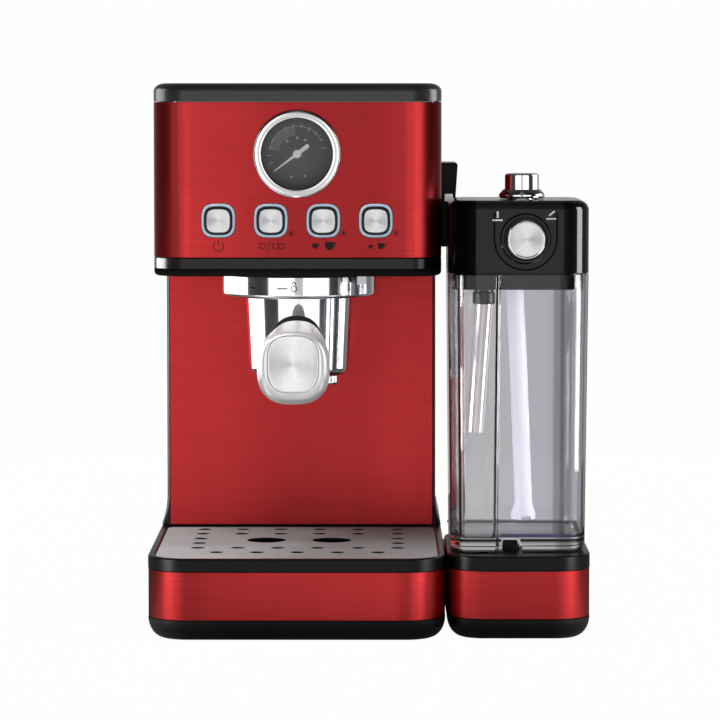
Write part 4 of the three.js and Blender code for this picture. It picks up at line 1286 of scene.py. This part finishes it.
def knob():
    y0, y1 = KNOB_LOW.y, KNOB_HIGH.y
    seat, shaft = LID_LOW.y - GAP, 4.2
    profile = [
        (0, y0 + 0.6), (8.9, y0 + 0.6), (9.0, y0 + 0.1), (9.3, y0), (9.8, y0 + 0.25), (10.0, y0 + 0.9),
        (10.1, y0 + 4), (10.6, y0 + 6), (10.6, seat), (shaft, seat), (shaft, y1), (0, y1),
    ]
    turned = lathe(profile, (KNOB_X, KNOB_Z), "Y", 96)
    piece("chrome_knob", turned, "chrome", "control_knob", ["control_knob"])
    profile = [
        (0, y0 + 0.25), (4, y0 + 0.2), (8.2, y0 + 0.05), (8.7, y0 + 0.15), (8.85, y0 + 0.62), (0, y0 + 0.62),
    ]
    face = lathe(profile, (KNOB_X, KNOB_Z), "Y", 96)
    piece("knob_face", face, "disc_small", "control_knob")


def clean_button():
    low, high = mm_box("clean_ring")
    base, top = low.z, high.z
    bore, outer = 9.4, (high.x - low.x) / 2
    profile = [
        (bore, base), (outer - 0.8, base), (outer - 0.2, base + 0.6), (outer, base + 1.5),
        (outer - 0.3, base + 2.5), (outer - 1.1, base + 3.4), (outer - 2.0, top - 0.3), (outer - 2.3, top),
        (bore, top), (bore, base),
    ]
    collar_ring = lathe(profile, (CLEAN_X, CLEAN_Y), "Z", 96)
    piece("chrome_button_ring", collar_ring, "chrome", "frother_lid", ["clean_ring"])
    low, high = mm_box("clean_button")
    r, top = (high.x - low.x) / 2, high.z
    stem, ledge = 7.2, 226.6
    profile = [
        (0, low.z), (stem, low.z), (stem, ledge), (r - 0.2, ledge), (r, ledge + 0.3), (r, top - 1.4),
        (r - 0.3, top - 0.6), (r - 1.0, top - 0.1), (r - 1.8, top), (0, top),
    ]
    plunger = lathe(profile, (CLEAN_X, CLEAN_Y), "Z", 96)
    piece("chrome_clean_button", plunger, "chrome", "clean_button", ["clean_button"])


def swept(points, radius, inner=0.0, sides=40, steps=10):
    """Tube through points, hollow when inner is given."""
    path = []
    n = len(points)
    for i in range(n - 1):
        p = [Vector(points[max(0, min(n - 1, i + k))]) for k in (-1, 0, 1, 2)]
        path += [Vector([hermite(*(q[c] for q in p), s / steps) for c in range(3)]) for s in range(steps)]
    path.append(Vector(points[-1]))
    rows = []
    for i, here in enumerate(path):
        ahead = path[min(i + 1, len(path) - 1)] - path[max(i - 1, 0)]
        direction = ahead.normalized()
        side = direction.cross(Vector((0, 1, 0))).normalized()
        up = side.cross(direction)
        rows.append((here, side, up))

    def ring_at(row, r):
        here, side, up = row
        return [tuple(here + side * r * math.cos(a) + up * r * math.sin(a)) for a in angles_of(sides)]

    rings = [ring_at(row, radius) for row in rows]
    if not inner:
        return rings_to_mesh(rings)
    return rings_to_mesh(rings + [ring_at(row, inner) for row in reversed(rows)], closed=True)


def tubes():
    low, high = mm_box("froth_tube")
    y = (low.y + high.y) / 2
    r = (high.y - low.y) / 2
    x = high.x - r
    profile = [
        (0, 168.6), (r - 0.5, 168.6), (r, 169.1), (r, 174.4), (r - 0.4, 174.8), (r - 0.9, 175),
        (r - 0.9, high.z), (0, high.z),
    ]
    tube_collar = lathe(profile, (x, y), "Z", 64)
    piece("dark_tube_collar", tube_collar, "dark_collar", "frother_lid")
    path = [(x, y, 169), (x - 0.2, y, 166), (x - 2.4, y, 135), (x - 4.6, y, low.z + 0.2)]
    steel = swept(path, 4.6, 3.9)
    piece("steel_froth_tube", steel, "tube", "frother_lid", ["froth_tube"])
    low, high = mm_box("suction_tube")
    y = (low.y + high.y) / 2
    foot_r = 6.4
    x, z = high.x - foot_r, low.z
    path = [(x - 5, y, high.z), (x - 4.8, y, 176), (x - 2.6, y, 130), (x, y, 64)]
    piece("silicone_tube", swept(path, 4.6), "silicone", "frother_lid", ["suction_tube"])
    profile = [
        (0, z + 1.2), (5.4, z + 1.2), (5.6, z), (foot_r, z), (foot_r, z + 3), (5.6, z + 5.4), (4.9, z + 7.4),
        (4.6, z + 10), (0, z + 10),
    ]
    notch = cuboid(x - 1, x + 4, low.y - 1, high.y + 1, z - 1, z + 1.6)
    foot = lathe(profile, (x, y), "Z", 64)
    piece("suction_foot", foot, "silicone", "frother_lid", cuts=[notch])


# ---------------------------------------------------------------- nodes that keep their CAD mesh


def carried_over():
    finishes = {
        "head_frame": "black", "group_head": "cast", "group_seal": "rubber", "shower_screen": "steel",
        "filter_basket": "steel", "boiler": "cast", "pump": "cast", "gauge_case": "cast",
        "control_board": "board", "brew_hose": "hose", "steam_hose": "hose", "base_bracket": "black",
    }
    for name, mat in finishes.items():
        finish_node(name, mat)


# ---------------------------------------------------------------- stage, light and camera
# Brightness over the horizontal direction in degrees: 0 is the front, and negative is left of it.
STUDIO_LEVELS = (
    (-180, 0.46), (-150, 0.46), (-135, 0.2), (-60, 0.04), (-30, 0.1), (-14, 0.3), (-8, 0.62),
    (8, 0.56), (14, 0.3), (30, 0.1), (60, 0.04), (135, 0.2), (150, 0.46), (180, 0.46),
)
FLOOR_LEVELS = (
    (-180, 0.6), (-150, 0.6), (-120, 0.06), (-84, 0.3), (-70, 0.5), (-62, 1.5), (-44, 1.5), (-38, 0.75),
    (-22, 0.62), (-8, 0.86), (8, 0.86), (22, 0.62), (38, 0.75), (44, 1.4), (62, 1.4), (70, 0.5), (84, 0.3),
    (120, 0.06), (150, 0.6), (180, 0.6),
)
FLOOR_RADIUS = 0.8
FLOOR_SIDES = 96
GLOW_REACH = (0.14, 0.23)
GLOW_STRENGTH = (0.08, 0.75)
PAPER = (0.987, 0.987, 0.982, 1)
BACKDROP = (0.99, 0.99, 0.985, 1)


def studio_level(tree, source, levels):
    """Brightness of the studio in the horizontal direction of a vector, as a colour, and the vector's Z."""
    split = node(tree, "ShaderNodeSeparateXYZ", Vector=source)
    front = node(tree, "ShaderNodeMath", operation="MULTIPLY", Value=split.outputs["Y"])
    front.inputs[1].default_value = -1
    azimuth = node(tree, "ShaderNodeMath", operation="ARCTAN2", Value=split.outputs["X"])
    tree.links.new(front.outputs[0], azimuth.inputs[1])
    share = spread(tree, azimuth.outputs[0], span=(-math.pi, math.pi))
    stops = [((degrees + 180) / 360, level) for degrees, level in levels]
    return grey_ramp(tree, share, stops), split.outputs["Z"]


def floor():
    """A pale sheet, white to the camera; in reflections it goes on with the studio's light and dark."""
    m = bpy.data.materials.new("floor_white")
    m.use_nodes = True
    tree = m.node_tree
    tree.nodes.clear()
    coords = node(tree, "ShaderNodeTexCoord").outputs["Object"]
    level, _ = studio_level(tree, coords, FLOOR_LEVELS)
    reach = node(tree, "ShaderNodeVectorMath", operation="LENGTH", Vector=coords).outputs["Value"]
    strength = spread(tree, reach, *GLOW_STRENGTH, GLOW_REACH, interpolation_type="SMOOTHSTEP")
    glow = node(tree, "ShaderNodeEmission", Strength=strength, Color=level)
    paper = node(tree, "ShaderNodeEmission", Color=PAPER)
    diffuse = node(tree, "ShaderNodeBsdfDiffuse", Color=(0.06, 0.06, 0.06, 1))
    total = node(tree, "ShaderNodeAddShader")
    tree.links.new(camera_sees(tree, paper, glow), total.inputs[0])
    tree.links.new(diffuse.outputs[0], total.inputs[1])
    node(tree, "ShaderNodeOutputMaterial", Surface=total.outputs[0])
    me = bpy.data.meshes.new("floor")
    edge = [(FLOOR_RADIUS * math.cos(a), FLOOR_RADIUS * math.sin(a), 0) for a in angles_of(FLOOR_SIDES)]
    me.from_pydata(edge, [], [tuple(range(FLOOR_SIDES))])
    me.materials.append(m)
    obj = bpy.data.objects.new("floor", me)
    scene.collection.objects.link(obj)


def camera_sees(tree, plain, other):
    """One shader for the camera's own view and another for everything else."""
    seen = node(tree, "ShaderNodeLightPath").outputs["Is Camera Ray"]
    pick = node(tree, "ShaderNodeMixShader", Fac=seen)
    tree.links.new(other.outputs[0], pick.inputs[1])
    tree.links.new(plain.outputs[0], pick.inputs[2])
    return pick.outputs[0]


def studio():
    """Studio with light and dark directions, seen only in reflections; the camera sees plain white."""
    world = bpy.data.worlds.new("studio")
    scene.world = world
    world.use_nodes = True
    tree = world.node_tree
    tree.nodes.clear()
    coords = node(tree, "ShaderNodeTexCoord").outputs["Generated"]
    level, height = studio_level(tree, coords, STUDIO_LEVELS)
    sky = ramp(tree, height, (1, 1, 1), (0.3, 0.3, 0.3), (0.15, 0.5))
    both = node(tree, "ShaderNodeMix", data_type="RGBA", blend_type="MULTIPLY", Factor=1)
    tree.links.new(level, both.inputs[6])
    tree.links.new(sky, both.inputs[7])
    lit = node(tree, "ShaderNodeBackground", Color=both.outputs[2], Strength=0.95)
    plain = node(tree, "ShaderNodeBackground", Color=BACKDROP)
    node(tree, "ShaderNodeOutputWorld", Surface=camera_sees(tree, plain, lit))


LIGHT_AIM = (0, 0, 0.15)


def softbox(name, degrees, wide, tall, level, mats, distance=1.2, height=0.25):
    """A light panel at an azimuth, for the pieces of the given materials only."""
    a = math.radians(degrees)
    watts = level * math.pi * wide * tall
    at = (distance * math.sin(a), -distance * math.cos(a), height)
    obj = area_light(name, at, LIGHT_AIM, (wide, tall), watts)
    group = bpy.data.collections.new(name + "_receivers")
    chosen = [M[m] for m in mats]
    for other in scene.objects:
        if other.type == "MESH" and other.data.materials and other.data.materials[0] in chosen:
            group.objects.link(other)
    obj.light_linking.receiver_collection = group


def area_light(name, at, target, size, watts):
    data = bpy.data.lights.new(name, "AREA")
    data.shape = "RECTANGLE"
    data.size, data.size_y = size
    data.energy = watts
    obj = bpy.data.objects.new(name, data)
    scene.collection.objects.link(obj)
    obj.location = at
    obj.rotation_euler = (Vector(target) - Vector(at)).to_track_quat("-Z", "Y").to_euler()
    return obj


CAMERA_AT = (38.5, -1745, 278.8)
CAMERA_DIP = 4.455
CAMERA_TURN = 0.19
CAMERA_LENS = 172.44
CAMERA_SENSOR = 36


def camera():
    """Straight in front of the machine at the height of its top, looking slightly down."""
    data = bpy.data.cameras.new("camera")
    data.sensor_width = CAMERA_SENSOR
    data.lens = CAMERA_LENS
    obj = bpy.data.objects.new("camera", data)
    scene.collection.objects.link(obj)
    obj.location = place(*CAMERA_AT)
    obj.rotation_euler = (math.radians(90 - CAMERA_DIP), 0, math.radians(CAMERA_TURN))
    scene.camera = obj


RED_METAL = ("red", "red_face", "red_panel", "red_band")
BRIGHT = ("chrome", "satin", "disc", "disc_small", "tube", "bezel")
PALE = ("plate", "satin", "lit", "cream", "dial", "dial_light", "dial_print", "white", "steel")

# Name, azimuth in degrees, width and height in metres, brightness, materials it falls on; then distance and
# height in metres where they are not softbox()'s own.
LIGHTS = (
    ("shoulder_left", -30, 1.5, 3.0, 2.05, RED_METAL, 3, 0.1),
    ("shoulder_right", 31, 1.5, 3.0, 2.05, RED_METAL, 3, 0.1),
    ("front_left", -26, 2.1, 3.0, 1.25, BRIGHT, 3, 0.1),
    ("front_right", 26, 2.1, 3.0, 1.25, BRIGHT, 3, 0.1),
    ("streak_left", -53, 0.2, 0.17, 7, ("red", "red_band"), 0.7, 0.09),
    ("band_streak", 44, 0.2, 0.17, 6.5, ("red_band",), 0.7, 0.09),
    ("streak_right", 54, 0.2, 0.17, 6.5, ("red",), 0.7, 0.09),
    ("rim_streak_left", -54, 0.2, 0.17, 20, ("rim", "black"), 0.7, 0.09),
    ("rim_streak_right", 54, 0.2, 0.17, 13, ("rim", "black"), 0.7, 0.09),
    ("box_left", -118, 1.9, 1.4, 1.6, BRIGHT),
    ("box_right", 98, 1.0, 1.4, 1.6, BRIGHT),
    ("edge_left", -98, 1.0, 1.2, 4, ("cap",)),
    ("frame_left", -98, 1.1, 1.2, 13, ("gloss_frame",)),
    ("frame_right", 96, 0.7, 1.2, 8, ("gloss_frame",)),
    ("frame_streak", 38, 0.5, 0.4, 1.4, ("gloss_frame",)),
    ("cap_front", 0, 1.0, 0.4, 0.7, ("cap",), 2, 0.22),
    ("edge_right", 92, 0.6, 1.2, 5.5, ("cap",)),
    ("side_right", 92, 0.6, 1.2, 1.6, ("black",)),
    ("lid_edge", 73, 0.55, 1.2, 7, ("gloss_lid",)),
    ("strip_left", -64, 0.5, 1.6, 18, ("jug",)),
    ("strip_right", 72, 0.4, 1.6, 14, ("jug",)),
    ("overhead", -60, 1.2, 1.2, 7, PALE, 0.5, 1.4),
    ("front_fill", 0, 1.6, 1.0, 1.0, PALE, 2, 0.9),
)

camera()
main_base()
drip_parts()
column()
head()
rear_side()
feet()
gauge()
buttons()
icons()
collar()
portafilter()
milk_base()
boss()
jug()
lid()
knob()
clean_button()
tubes()
carried_over()
floor()
studio()
for light in LIGHTS:
    softbox(*light)
scene.view_settings.view_transform = "Standard"
